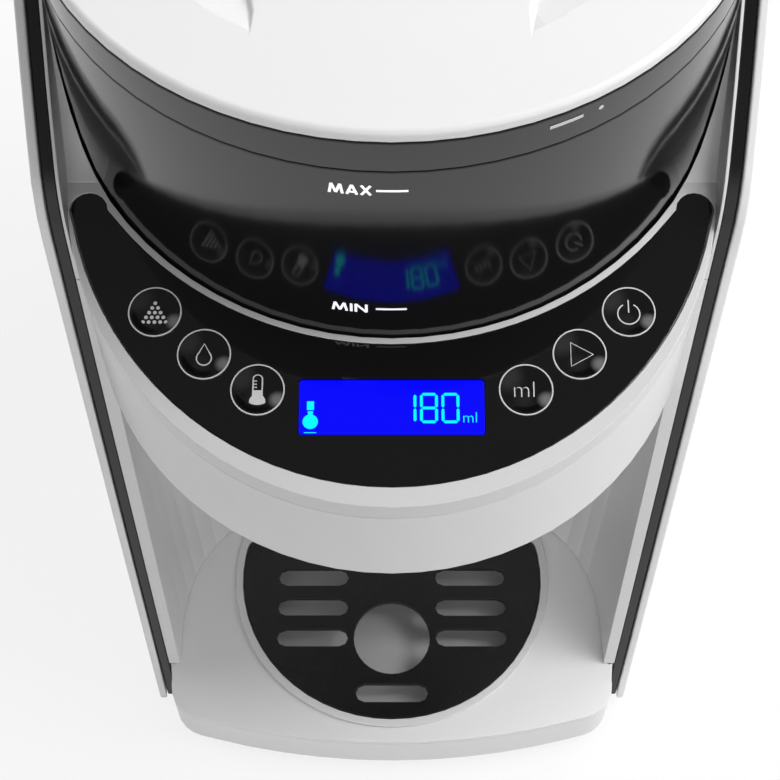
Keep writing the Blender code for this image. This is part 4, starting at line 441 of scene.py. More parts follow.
@dataclass(frozen=True)
class CircuitBoard(Finish):
    """Glass-fibre board under green solder mask, with copper tracks that show through as lighter lines."""

    track: str
    tin: str = "#B9BDC0"
    pitch: float = 4.2 * MM
    track_width: float = 0.25 * MM

    def shader(self, tree: Tree, place: Socket) -> Node:
        """Glossy mask, tracks 0.5 mm wide, and tinned pads 1 mm across.

        Args:
            tree: The material's node tree.
            place: Where a point lies on the machine, in metres.
        Returns:
            The surface's last node.
        """
        rows = {"Vector": place, "Scale": 1.0, "Mortar Size": self.track_width}
        rows |= {"Brick Width": self.pitch * 2, "Row Height": self.pitch, "Mortar": linear(self.track)}
        rows |= {"Color1": linear(self.colour), "Color2": linear(self.colour)}
        tracks = add_node(tree, "TexBrick", rows)
        cells = add_node(tree, "TexVoronoi", {"Vector": place, "Scale": 1 / self.pitch, "Randomness": 0.35})
        rim = {"Value": cells.outputs["Distance"], "From Min": 0.14, "From Max": 0.1}
        pad = add_node(tree, "MapRange", rim)
        tones = {0: pad, 6: tracks.outputs[0], 7: linear(self.tin)}
        tone = add_node(tree, "Mix", tones, data_type="RGBA")
        body = {"Base Color": tone.outputs[2], "Metallic": pad, "Roughness": 0.3}
        return add_node(tree, "BsdfPrincipled", body)


class Look(Enum):
    """The finishes of this machine by the part they are for."""

    WHITE = MouldedAbs("satin_abs_white", "#EDEDED", "#E9E9E9", 0.38)
    PALE = MouldedAbs("satin_abs_pale", "#E2E2E2", "#DADADA", 0.36)
    BEZEL = MouldedAbs("satin_abs_bezel", "#D6D6D6", "#D0D0D0", 0.3)
    BLACK = PolishedPlastic("gloss_abs_black", "#0B0B0B", "#101010", 0.12, ior=1.5)
    TRAY_BLACK = MouldedAbs("satin_abs_black", "#0C0C0C", "#101010", 0.3)
    GLASS = PolishedPlastic("polished_acrylic_black", "#0B0B0B", "#0D0D0D", 0.04)
    SMOKE = PolishedPlastic("smoked_polycarbonate", "#0E0E0E", "#121212", 0.09, ior=1.6)
    SMOKE_CLEAR = TintedClear("smoked_polycarbonate_thin", "#57595A", "#505253", 0.06)
    CLEAR = TintedClear("clear_copolyester", "#F2F5F6", "#ECF1F3", 0.05, ior=1.57, passing=0.94)
    DISPLAY = LitPanel("lit_display_blue", "#0000FF", "#0000F2")
    FIGURES = LitPanel("lit_display_cyan", "#00FFFF", "#00F4F8")
    # INK and KEY_INK glow in their own colour: painted glow on prints with no lamp behind them
    INK = ScreenPrint("printed_white", "#FFFFFF", "#F4F4F4", 0.55)
    KEY_INK = ScreenPrint("printed_key_grey", "#D2D2D2", "#C6C6C6", 0.05)
    DARK_INK = ScreenPrint("printed_dark_grey", "#55585A", "#5C5F61")
    NYLON = MouldedAbs("moulded_nylon_grey", "#4B4D4F", "#424446", 0.4)
    MODULE = MouldedAbs("moulded_frame_grey", "#6B6D6E", "#636566", 0.45)
    RUBBER = SoftRubber("foot_rubber_dark", "#1B1B1C", "#222223", 0.75)
    SILICONE = SoftRubber("cured_silicone", "#DAD9D4", "#CFCEC8", 0.4, passing=0.25)
    STEEL = WorkedMetal("drawn_steel", "#C2C3C5", "#AEB0B2", 0.3)
    BRASS = WorkedMetal("turned_brass", "#D9B765", "#C7A352", 0.24, stretch=(300.0, 300.0, 2500.0))
    BOARD = CircuitBoard("green_circuit_board", "#0D3A22", "#1D6238")


SLOT_LOOKS: dict[str, Look] = {
    "white_shell": Look.WHITE,
    "pale_shell": Look.PALE,
    "black_trim": Look.BLACK,
    "panel_glass": Look.GLASS,
    "smoked": Look.SMOKE,
    "clear_tank": Look.CLEAR,
    "display": Look.DISPLAY,
    "grey_plastic": Look.NYLON,
    "foot_rubber": Look.RUBBER,
    "silicone": Look.SILICONE,
    "steel": Look.STEEL,
    "brass": Look.BRASS,
    "circuit": Look.BOARD,
}


# The bench: what is done to a piece with Blender's own tools

# Points closer than these are one, on a new piece, on lettering before it is sized, and on a CAD copy
NEW_DOUBLES, LETTER_DOUBLES, CAD_DOUBLES = 0.01 * MM, 0.00001, 0.02 * MM
# Angles in degrees: CAD faces flatter than this are one, and edges sharper than these are rounded,
# stay sharp in the light, or stay so on a thin stroke
FLAT, ROUNDED, SHADED, STROKE_SHADED = 0.3, 30.0, 35.0, 60.0
# How far the flat faces outweigh the rounding in the light, from 1 to 100
FLAT_WEIGHT = 80
# Steps of a stroke's quarter round, steps of a letter's curves, and a letter's depth before it is sized
STROKE_STEPS, LETTER_STEPS, LETTER_DEPTH = 2, 5, 0.1


def take(*pieces: Piece) -> None:
    """Select these pieces alone and make the first one active.

    Args:
        pieces: The pieces to select.
    """
    if bpy.context.object is not None and bpy.context.object.mode != "OBJECT":
        bpy.ops.object.mode_set(mode="OBJECT")
    bpy.ops.object.select_all(action="DESELECT")
    for piece in pieces:
        piece.select_set(True)
    if pieces:
        bpy.context.view_layer.objects.active = pieces[0]


@contextmanager
def editing(piece: Piece, kind: str = "VERT") -> Iterator[None]:
    """Open a piece in edit mode, all of it selected, and close it again afterwards.

    Args:
        piece: The mesh to work on.
        kind: What is selected, VERT or EDGE.
    """
    take(piece)
    bpy.ops.object.mode_set(mode="EDIT")
    bpy.ops.mesh.select_mode(type=kind)
    bpy.ops.mesh.select_all(action="SELECT")
    yield
    bpy.ops.object.mode_set(mode="OBJECT")


def clean(piece: Piece, within: float = NEW_DOUBLES) -> Piece:
    """Merge a new piece's doubles and turn its faces outwards.

    Args:
        piece: The mesh to clean.
        within: Points closer than this become one.
    Returns:
        The same piece.
    """
    with editing(piece):
        bpy.ops.mesh.remove_doubles(threshold=within)
        bpy.ops.mesh.normals_make_consistent(inside=False)
    return piece


def applied(piece: Piece) -> Piece:
    """Put a piece's place, turn and size into its mesh."""
    take(piece)
    bpy.ops.object.transform_apply(location=True, rotation=True, scale=True)
    return piece


def smooth(piece: Piece, angle: float = SHADED) -> Piece:
    """Shade a piece smooth up to an angle in degrees."""
    take(piece)
    bpy.ops.object.shade_smooth_by_angle(angle=math.radians(angle))
    return piece


def with_modifier(piece: Piece, kind: str, **settings: Any) -> Piece:
    """Add one modifier and apply it.

    Args:
        piece: The mesh to change.
        kind: The modifier's type.
        settings: The modifier's own properties.
    Returns:
        The same piece.
    """
    take(piece)
    bpy.ops.object.modifier_add(type=kind)
    modifier = piece.modifiers[-1]
    for key, value in settings.items():
        setattr(modifier, key, value)
    bpy.ops.object.modifier_apply(modifier=modifier.name)
    return piece


def softened(piece: Piece, width: float, segments: int = 3, shade: float = SHADED) -> Piece:
    """Round a piece's sharp edges and shade it smooth, with its flat faces kept flat.

    Args:
        piece: The mesh to soften.
        width: How far the rounding reaches from the edge.
        segments: Steps across the rounding.
        shade: Edges sharper than this many degrees stay sharp in the light.
    Returns:
        The same piece.
    """
    sharp = {"limit_method": "ANGLE", "angle_limit": math.radians(ROUNDED)}
    with_modifier(piece, "BEVEL", width=width, segments=segments, use_clamp_overlap=False, **sharp)
    return with_modifier(smooth(piece, shade), "WEIGHTED_NORMAL", keep_sharp=True, weight=FLAT_WEIGHT)


def wire(name: str, points: Sequence[Vector]) -> Piece:
    """Draw a line of edges by extruding one vertex along it.

    Args:
        name: The new piece's name.
        points: The places that the line passes.
    Returns:
        The line as a mesh of edges.
    """
    take()
    bpy.ops.mesh.primitive_plane_add(size=MM, location=points[0])
    piece = bpy.context.object
    piece.name = name
    with editing(piece):
        bpy.ops.mesh.merge(type="CENTER")
        for before, after in zip(points, points[1:]):
            bpy.ops.mesh.extrude_vertices_move(TRANSFORM_OT_translate={"value": after - before})
    return applied(piece)


def lathe(name: str, profile: Sequence[Point], steps: int = 48) -> Piece:
    """Spin a closed profile about the upright axis.

    Args:
        name: The new piece's name.
        profile: Radius and height of each corner, in metres.
        steps: Faces around.
    Returns:
        The closed, smooth-shaded solid.
    """
    corners = [Vector((radius, 0, height)) for radius, height in profile]
    if profile[0][0] > 0:
        corners.append(corners[0].copy())
    piece = wire(name, corners)
    with editing(piece):
        bpy.ops.mesh.spin(steps=steps, angle=math.tau, center=(0, 0, 0), axis=(0, 0, 1))
    return smooth(clean(piece))


def plate(name: str, loop: Sequence[Point], low: float, high: float) -> Piece:
    """Fill an outline and raise it into a plate.

    Args:
        name: The new piece's name.
        loop: The outline's corners.
        low: The plate's underside.
        high: The plate's face.
    Returns:
        The closed plate.
    """
    piece = wire(name, [Vector((x, y, low)) for x, y in loop])
    with editing(piece):
        bpy.ops.mesh.edge_face_add()
        bpy.ops.mesh.extrude_region_move(TRANSFORM_OT_translate={"value": (0, 0, high - low)})
    return clean(piece)


def block(name: str, low: Sequence[float], high: Sequence[float], rounding: float) -> Piece:
    """A box between two corners with rounded edges.

    Args:
        name: The new piece's name.
        low: The lowest corner.
        high: The highest corner.
        rounding: Width of the edges' rounding.
    Returns:
        The rounded box.
    """
    take()
    middle = [(a + b) / 2 for a, b in zip(low, high)]
    bpy.ops.mesh.primitive_cube_add(size=1, location=middle, scale=[b - a for a, b in zip(low, high)])
    piece = bpy.context.object
    piece.name = name
    return softened(applied(piece), rounding, segments=2)


def stroke(name: str, points: Sequence[Point], width: float, height: float, closed: bool = False) -> Piece:
    """A raised line of even width along flat points.

    Args:
        name: The new piece's name.
        points: The line's corners.
        width: How wide the line is.
        height: How far it stands up.
        closed: Whether the end joins the start.
    Returns:
        The line as a closed mesh, lying at height 0.
    """
    curve = bpy.data.curves.new(name, "CURVE")
    curve.dimensions = "3D"
    curve.bevel_depth = width / 2
    curve.bevel_resolution = STROKE_STEPS
    curve.use_fill_caps = True
    spline = curve.splines.new("POLY")
    spline.points.add(len(points) - 1)
    for slot, (x, y) in zip(spline.points, points):
        slot.co = (x, y, 0, 1)
    spline.use_cyclic_u = closed
    piece = bpy.data.objects.new(name, curve)
    bpy.context.scene.collection.objects.link(piece)
    take(piece)
    bpy.ops.object.convert(target="MESH")
    piece = bpy.context.object
    piece.scale = (1, 1, height * 2 / width)
    return smooth(clean(applied(piece)), STROKE_SHADED)


def lettering(name: str, words: str, low: Point, high: Point, height: float, weight: float) -> Piece:
    """Generic marks such as ml or a level's number, as a thin raised print that fills a box.

    Args:
        name: The new piece's name.
        words: The mark.
        low: The print's lower left corner.
        high: The print's upper right corner.
        height: How far it stands up.
        weight: How much bolder than the plain letters, as a share of their size.
    Returns:
        The print as a mesh, lying at height 0.
    """
    take()
    bpy.ops.object.text_add()
    piece = bpy.context.object
    piece.name = name
    piece.data.body = words
    piece.data.offset = weight
    piece.data.extrude = LETTER_DEPTH / 2
    piece.data.resolution_u = LETTER_STEPS
    bpy.ops.object.convert(target="MESH")
    piece = bpy.context.object
    clean(piece, LETTER_DOUBLES)
    corners = [vertex.co for vertex in piece.data.vertices]
    left, right = min(c.x for c in corners), max(c.x for c in corners)
    foot, head = min(c.y for c in corners), max(c.y for c in corners)
    wide, tall = (high[0] - low[0]) / (right - left), (high[1] - low[1]) / (head - foot)
    piece.scale = (wide, tall, height / LETTER_DEPTH)
    piece.location = (low[0] - left * wide, low[1] - foot * tall, height / 2)
    return applied(piece)


# Capitals of a height of 1, each a list of strokes, and the space after each
LETTERS: dict[str, list[list[Point]]] = {
    "M": [
        [(0.0, 0.0), (0.17, 1.0)],
        [(0.17, 1.0), (0.5, 0.08)],
        [(0.5, 0.08), (0.83, 1.0)],
        [(0.83, 1.0), (1.0, 0.0)],
    ],
    "A": [[(0.0, 0.0), (0.38, 1.0)], [(0.38, 1.0), (0.76, 0.0)], [(0.13, 0.26), (0.63, 0.26)]],
    "X": [[(0.0, 0.0), (0.7, 1.0)], [(0.0, 1.0), (0.7, 0.0)]],
    "I": [[(0.0, 0.0), (0.0, 1.0)]],
    "N": [[(0.0, 0.0), (0.0, 1.0)], [(0.0, 1.0), (0.76, 0.0)], [(0.76, 0.0), (0.76, 1.0)]],
}
LETTER_SPACE = 0.33


def drawn(name: str, word: str, low: Point, high: Point, width: float, height: float) -> list[Piece]:
    """A word in capitals of even strokes, which fills a box.

    Args:
        name: The first part of the strokes' names.
        word: The word, in the letters above.
        low: The word's lower left corner.
        high: The word's upper right corner.
        width: How wide a stroke is.
        height: How far it stands up.
    Returns:
        The strokes.
    """
    wide = [max(x for line in LETTERS[letter] for x, _ in line) for letter in word]
    across = (high[0] - low[0] - width) / (sum(wide) + LETTER_SPACE * (len(word) - 1))
    rise = high[1] - low[1] - width
    left, made = low[0] + width / 2, []
    for place, letter in enumerate(word):
        for index, line in enumerate(LETTERS[letter]):
            points = [(left + x * across, low[1] + width / 2 + y * rise) for x, y in line]
            made.append(stroke(f"{name}_{place}_{index}", points, width, height))
        left += (wide[place] + LETTER_SPACE) * across
    return made


def joined(name: str, pieces: Sequence[Piece]) -> Piece:
    """Join pieces into one object.

    Args:
        name: The joined piece's name.
        pieces: The pieces; the first keeps its place.
    Returns:
        The one object.
    """
    take(*pieces)
    bpy.ops.object.join()
    piece = bpy.context.object
    piece.name = name
    return piece


def twin(name: str, piece: Piece, move: Sequence[float]) -> Piece:
    """A copy with its own mesh, moved.

    Args:
        name: The copy's name.
        piece: What is copied.
        move: How far the copy lies from it.
    Returns:
        The copy.
    """
    take(piece)
    bpy.ops.object.duplicate(linked=False)
    copy = bpy.context.object
    copy.name = name
    copy.location = Vector(copy.location) + Vector(move)
    return applied(copy)


def moved_by(piece: Piece, matrix: Matrix) -> Piece:
    """Lay a flat piece where a matrix says, with its place kept in the mesh."""
    piece.matrix_world = matrix
    return applied(piece)


def wrapped(piece: Piece, radius: float, lift: float) -> Piece:
    """Bend a flat print round an upright cylinder, its middle at the front.

    Args:
        piece: The flat print; its x runs round the cylinder and its y up.
        radius: The cylinder's radius.
        lift: How far the print's foot stands off it.
    Returns:
        The same piece, bent.
    """
    for vertex in piece.data.vertices:
        x, y, z = vertex.co
        reach = radius + lift + z
        vertex.co = (reach * math.sin(x / radius), -reach * math.cos(x / radius), y)
    return clean(piece)


def arc(centre: Point, radius: float, start: float, end: float, steps: int) -> list[Point]:
    """Points along an arc.

    Args:
        centre: The arc's centre.
        radius: Its radius.
        start: Its first angle in degrees.
        end: Its last angle in degrees.
        steps: How many steps it takes between them.
    Returns:
        The points, both ends included.
    """
    turns = [math.radians(start + (end - start) * step / steps) for step in range(steps + 1)]
    return [(centre[0] + radius * math.cos(turn), centre[1] + radius * math.sin(turn)) for turn in turns]


def box_loop(left: float, right: float, low: float, high: float) -> list[Point]:
    """An upright box's corners, anticlockwise from its lower left."""
    return [(left, low), (right, low), (right, high), (left, high)]


def body_of(node: str) -> str:
    """The name of the CAD body that a node rides on."""
    bodies = frame["record"]["behaviour"]["bodies"]
    return next(name for name, nodes in bodies.items() if node in nodes)


def slot_of(node: str) -> str:
    """The material slot that the record gives a node."""
    return next(row["material_slot"] for row in frame["record"]["subparts"] if row["node"] == node)


def settle(piece: Piece, node: str, look: Look | Finish, stands_for: bool = False) -> Piece:
    """Dress a new piece and let it ride with a CAD node.

    Args:
        piece: The finished mesh.
        node: The CAD node that it belongs to.
        look: Its finish.
        stands_for: Whether it is shown instead of the node.
    Returns:
        The same piece.
    """
    finish = look.value if isinstance(look, Look) else look
    finish.put_on(piece)
    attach(piece, body_of(node))
    if stands_for:
        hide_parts(node)
    return piece


def bare_copy(node: str) -> Piece:
    """A CAD node's copy with its triangles merged into whole faces.

    Args:
        node: The CAD node.
    Returns:
        The copy, with no parent, named for its node with _shell.
    """
    take(frame["nodes"][node])
    bpy.ops.object.duplicate(linked=False)
    piece = bpy.context.object
    bpy.ops.object.parent_clear(type="CLEAR_KEEP_TRANSFORM")
    piece.name = f"{node}_shell"
    for key in list(piece.keys()):
        del piece[key]
    with editing(piece):
        bpy.ops.mesh.remove_doubles(threshold=CAD_DOUBLES)
        bpy.ops.mesh.dissolve_limited(angle_limit=math.radians(FLAT))
    return applied(piece)


def refined(node: str, look: Look, width: float, segments: int = 3) -> Piece:
    """A copy of a CAD node with its edges rounded, shown instead of it.

    Args:
        node: The CAD node.
        look: Its finish.
        width: Width of the edges' rounding.
        segments: Steps across the rounding.
    Returns:
        The copy, dressed and riding.
    """
    return settle(softened(bare_copy(node), width, segments), node, look, stands_for=True)


def set_at_corners(first: Piece, family: str, ending: str, look: Look) -> list[Piece]:
    """Copy a piece to the places of four numbered CAD nodes, and use it up.

    Args:
        first: The piece, on the upright axis.
        family: The nodes' name without their number.
        ending: What the copies' names end with.
        look: Their finish.
    Returns:
        The four copies.
    """
    made = []
    for index in range(1, 5):
        node = f"{family}_{index}"
        low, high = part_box(node)
        middle = (low + high) / 2
        copy = twin(f"{node}_{ending}", first, (middle.x, middle.y, 0))
        made.append(settle(copy, node, look, stands_for=True))
    bpy.data.objects.remove(first)
    return made


# The control panel's own plane


@dataclass(frozen=True)
class PanelPlane:
    """The tilted plane of the control panel, with u to the right, v up the slope and h out of it."""

    y: float = -94.8575 * MM
    z: float = 251.72 * MM
    tilt: float = math.radians(9.64)

    def matrix(self, u: float = 0.0, v: float = 0.0, h: float = 0.0) -> Matrix:
        """Where a flat piece goes so that its origin lies at u, v, h, all in metres.

        Args:
            u: Across the panel.
            v: Up the slope.
            h: Out of the panel.
        Returns:
            The placing matrix.
        """
        turn = Matrix.Rotation(self.tilt, 4, "X")
        return Matrix.Translation((0, self.y, self.z)) @ turn @ Matrix.Translation((u, v, h))


PLANE = PanelPlane()


# Sub-assemblies


class Mark(Enum):
    """The symbol on a key."""

    POWDER = "powder"
    WATER = "water"
    TEMPERATURE = "temperature"
    UNIT = "unit"
    START = "start"
    POWER = "power"


@dataclass
class Key:
    """One round key: a dished cap, its pale printed ring and its symbol, both in ink with a faint painted
    glow.
    """

    mark: Mark
    u: float
    v: float
    cap_radius: float = 8.02 * MM
    ring_inner: float = 8.07 * MM
    ring_outer: float = 8.5 * MM
    ring_edge: float = 0.06 * MM
    ring_depth: float = 0.85 * MM
    dish: float = 0.35 * MM
    # Radius, and share of the dish's depth
    dish_steps: tuple[Point, ...] = ((0.0, 1.0), (4.6 * MM, 1.0), (6.0 * MM, 0.72), (7.2 * MM, 0.2))
    rim: float = 7.7 * MM
    rim_drop: float = 0.01 * MM
    shoulder: float = 0.9 * MM
    thickness: float = 2.0 * MM
    stem: float = 3.0 * MM
    stem_length: float = 2.2 * MM
    line: float = 0.42 * MM
    relief: float = 0.05 * MM

    def build(self) -> list[Piece]:
        """Model the cap, ring and symbol in the panel's plane and dress them."""
        node = f"{self.mark.value}_key"
        low, foot = -self.thickness, -self.thickness - self.stem_length
        profile = [(radius, -self.dish * share) for radius, share in self.dish_steps]
        profile += [(self.rim, -self.rim_drop), (self.cap_radius, -self.rim_drop)]
        profile += [(self.cap_radius, -self.shoulder), (self.ring_outer, -self.shoulder)]
        profile += [(self.ring_outer, low), (self.stem, low), (self.stem, foot), (0.0, foot)]
        place = PLANE.matrix(self.u, self.v)
        cap = moved_by(lathe(f"{node}_cap", profile), place)
        # The cap's finish paints its highlights into the base colour, centred on the key
        black = KeyCap(f"key_black_{self.mark.value}", "#080808", tuple(place.translation))
        settle(cap, node, black, stands_for=True)
        inner, outer, edge = self.ring_inner, self.ring_outer, self.ring_edge
        profile = [(inner, 0.0), (inner + edge, edge / 2), (outer - edge, edge / 2), (outer, 0.0)]
        profile += [(outer, -self.ring_depth), (inner, -self.ring_depth)]
        ring = moved_by(lathe(f"{node}_ring", profile, steps=64), place)
        settle(ring, node, Look.KEY_INK)
        symbol = joined(f"{node}_symbol", self.symbol())
        settle(moved_by(symbol, PLANE.matrix(self.u, self.v, -self.dish)), node, Look.KEY_INK)
        return [cap, ring, symbol]

    def symbol(self) -> list[Piece]:
        """The flat pieces of this key's symbol, round the key's middle."""
        makers: dict[Mark, Callable[[], list[Piece]]] = {
            Mark.POWDER: self.heap,
            Mark.WATER: self.drop,
            Mark.TEMPERATURE: self.thermometer,
            Mark.UNIT: self.unit,
            Mark.START: self.triangle,
            Mark.POWER: self.power,
        }
        return makers[self.mark]()

    def heap(self) -> list[Piece]:
        """A heap of fifteen grains in five rows."""
        grain, flat, pitch, row, top_row = 0.62 * MM, 0.496 * MM, 1.82 * MM, 1.62 * MM, 1.9
        dome = [(0.0, self.relief), (flat, self.relief), (grain, self.relief / 2)]
        dome += [(grain, -self.relief), (0.0, -self.relief)]
        first = lathe("grain", dome, steps=16)
        made = []
        for level in range(5):
            for index in range(level + 1):
                x, y = (index - level / 2) * pitch, (top_row - level) * row
                made.append(twin(f"grain_{level}_{index}", first, (x, y, 0)))
        bpy.data.objects.remove(first)
        return made

    def drop(self) -> list[Piece]:
        """A water drop's outline."""
        middle, radius, tip = -1.25 * MM, 2.35 * MM, 3.6 * MM
        outline = arc((0, middle), radius, start=152, end=388, steps=28) + [(0.0, tip)]
        return [stroke("drop", outline, self.line, self.relief, closed=True)]

    def thermometer(self) -> list[Piece]:
        """A thermometer: a tube's outline with three ticks over a filled stem and bulb."""
        half, top, fill = 1.45 * MM, 3.6 * MM, -0.1 * MM
        first_tick, tick_pitch, tick_end, tick_line = 1.0 * MM, 1.05 * MM, -0.2175 * MM, 0.336 * MM
        bulb_middle, bulb_radius = -3.9 * MM, 2.55 * MM
        tube = [(half, fill)] + arc((0, top), half, start=0, end=180, steps=12) + [(-half, fill)]
        made = [stroke("tube", tube, self.line, self.relief)]
        for level in range(3):
            y = fill + first_tick + level * tick_pitch
            made.append(stroke(f"tick_{level}", [(-half, y), (tick_end, y)], tick_line, self.relief))
        stem = [(half + self.line / 2, fill), (-half - self.line / 2, fill)]
        bulb = arc((0, bulb_middle), bulb_radius, start=131, end=409, steps=26)
        made.append(plate("bulb", stem + bulb, -self.relief, self.relief / 2))
        return made

    def unit(self) -> list[Piece]:
        """The letters ml."""
        low, high = (-3.75 * MM, -2.3 * MM), (2.6 * MM, 2.75 * MM)
        return [lettering("unit", "ml", low, high, self.relief, weight=-0.02)]

    def triangle(self) -> list[Piece]:
        """A triangle's outline, pointing right."""
        back, half, tip = -2.7 * MM, 4.0 * MM, 4.3 * MM
        corners = [(back, half), (back, -half), (tip, 0.0)]
        return [stroke("triangle", corners, self.line, self.relief, closed=True)]

    def power(self) -> list[Piece]:
        """An open ring with an upright line."""
        middle, radius, top, foot = -0.6 * MM, 3.5 * MM, 4.2 * MM, -0.2 * MM
        turn = arc((0, middle), radius, start=118, end=422, steps=32)
        ring = stroke("power_ring", turn, self.line, self.relief)
        return [ring, stroke("power_line", [(0.0, top), (0.0, foot)], self.line, self.relief)]


@dataclass
class Display:
    """The blue display with its figures and thermometer, in the panel's plane."""

    edge: float = 0.25 * MM
    lift: float = 0.03 * MM
    figures_low: Point = (4.6 * MM, -45.1 * MM)
    figures_high: Point = (20.98 * MM, -35.1 * MM)
    bar: float = 0.92 * MM
    bar_gap: float = 0.12 * MM
    digit_width: float = 4.68 * MM
    digit_pitch: float = 6.67 * MM
    unit_low: Point = (22.1 * MM, -44.8 * MM)
    unit_high: Point = (26.3 * MM, -41.5 * MM)
    tube_middle: float = -25.2 * MM
    tube_half: float = 1.1 * MM
    tube_span: Point = (-40.75 * MM, -37.9 * MM)
    neck: float = -41.15 * MM
    neck_half: float = 0.825 * MM
    bulb_middle: float = -44.6 * MM
    bulb_radius: float = 2.38 * MM
    dash_half: float = 1.9 * MM
    dash_span: Point = (-48.3 * MM, -48.05 * MM)

    def build(self) -> list[Piece]:
        """Round the window and lay the lit figures on it."""
        window = refined("lcd_window", Look.DISPLAY, self.edge, segments=2)
        marks = joined("display_figures", self.figures() + self.thermometer())
        settle(moved_by(marks, PLANE.matrix(h=self.lift)), "lcd_window", Look.FIGURES)
        return [window, marks]

    def segment(self, name: str, start: Point, end: Point) -> Piece:
        """One lit bar with pointed ends.

        Args:
            name: The bar's name.
            start: The point before its first end.
            end: The point after its last end.
        Returns:
            The bar.
        """
        along = (Vector(end) - Vector(start)).normalized()
        across = Vector((-along.y, along.x)) * self.bar / 2
        first, last = Vector(start) + along * self.bar_gap, Vector(end) - along * self.bar_gap
        tip = along * self.bar / 2
        upper = [first, first + tip + across, last - tip + across]
        lower = [last, last - tip - across, first + tip - across]
        return plate(name, [(corner.x, corner.y) for corner in upper + lower], 0, self.lift)

    def digit(self, name: str, lit: str, left: float) -> list[Piece]:
        """The lit bars of one seven-bar figure.

        Args:
            name: The first part of the bars' names.
            lit: Which bars are lit, by the letters a to g.
            left: The figure's left side.
        Returns:
            The bars.
        """
        low, high = self.figures_low[1] + self.bar / 2, self.figures_high[1] - self.bar / 2
        middle, right = (low + high) / 2, left + self.digit_width
        bars = {
            "a": ((left, high), (right, high)),
            "b": ((right, high), (right, middle)),
            "c": ((right, middle), (right, low)),
            "d": ((left, low), (right, low)),
            "e": ((left, middle), (left, low)),
            "f": ((left, high), (left, middle)),
            "g": ((left, middle), (right, middle)),
        }
        return [self.segment(f"{name}_{letter}", *bars[letter]) for letter in lit]

    def figures(self) -> list[Piece]:
        """The amount in seven-bar figures, and its unit."""
        last = self.figures_high[0] - self.bar / 2 - self.digit_width
        made = self.digit("zero", "abcdef", last)
        made += self.digit("eight", "abcdefg", last - self.digit_pitch)
        made += self.digit("one", "bc", last - self.digit_pitch * 2)
        unit = lettering("display_unit", "ml", self.unit_low, self.unit_high, self.lift, weight=-0.012)
        return [*made, unit]

    def thermometer(self) -> list[Piece]:
        """A block, a neck and a bulb at the display's left, over a short dash."""
        middle, half = self.tube_middle, self.tube_half
        tube = box_loop(middle - half, middle + half, *self.tube_span)
        neck = [(middle + self.neck_half, self.neck), (middle - self.neck_half, self.neck)]
        bulb = arc((middle, self.bulb_middle), self.bulb_radius, start=108, end=432, steps=28)
        dash = box_loop(middle - self.dash_half, middle + self.dash_half, *self.dash_span)
        loops = {"tube_block": tube, "bulb": neck + bulb, "dash": dash}
        return [plate(name, loop, 0, self.lift) for name, loop in loops.items()]


@dataclass
class Panel:
    """The bezel, the black glass and all that is set in it."""

    glass_shade: float = 20.0
    bezel_edge: float = 0.25 * MM
    seam: float = 0.3 * MM
    keys: tuple[Key, ...] = (
        Key(Mark.POWDER, -75.0 * MM, -7.7 * MM),
        Key(Mark.WATER, -58.9 * MM, -22.1 * MM),
        Key(Mark.TEMPERATURE, -41.8 * MM, -34.0 * MM),
        Key(Mark.UNIT, 41.8 * MM, -34.0 * MM),
        Key(Mark.START, 58.9 * MM, -22.1 * MM),
        Key(Mark.POWER, 75.0 * MM, -7.7 * MM),
    )

    def build(self) -> list[Piece]:
        """Dress the bezel and glass, and build the keys and display."""
        bezel = softened(self.closed_up(bare_copy("panel_bezel")), self.bezel_edge)
        made = [settle(bezel, "panel_bezel", Look.BEZEL, stands_for=True)]
        glass = smooth(bare_copy("control_glass"), self.glass_shade)
        made.append(settle(glass, "control_glass", Look.GLASS, stands_for=True))
        for key in self.keys:
            made += key.build()
        return made + Display().build()

    def closed_up(self, piece: Piece) -> Piece:
        """Let the bezel meet the cradle behind and beside it, where the photograph shows no joint.

        Args:
            piece: The bezel's copy.
        Returns:
            The same piece.
        """
        corners = [vertex.co for vertex in piece.data.vertices]
        half, rear = max(corner.x for corner in corners), max(corner.y for corner in corners)
        for corner in corners:
            corner.x *= 1 + self.seam / half
            if corner.y > rear - self.seam / 2:
                corner.y += self.seam * 2
        return piece


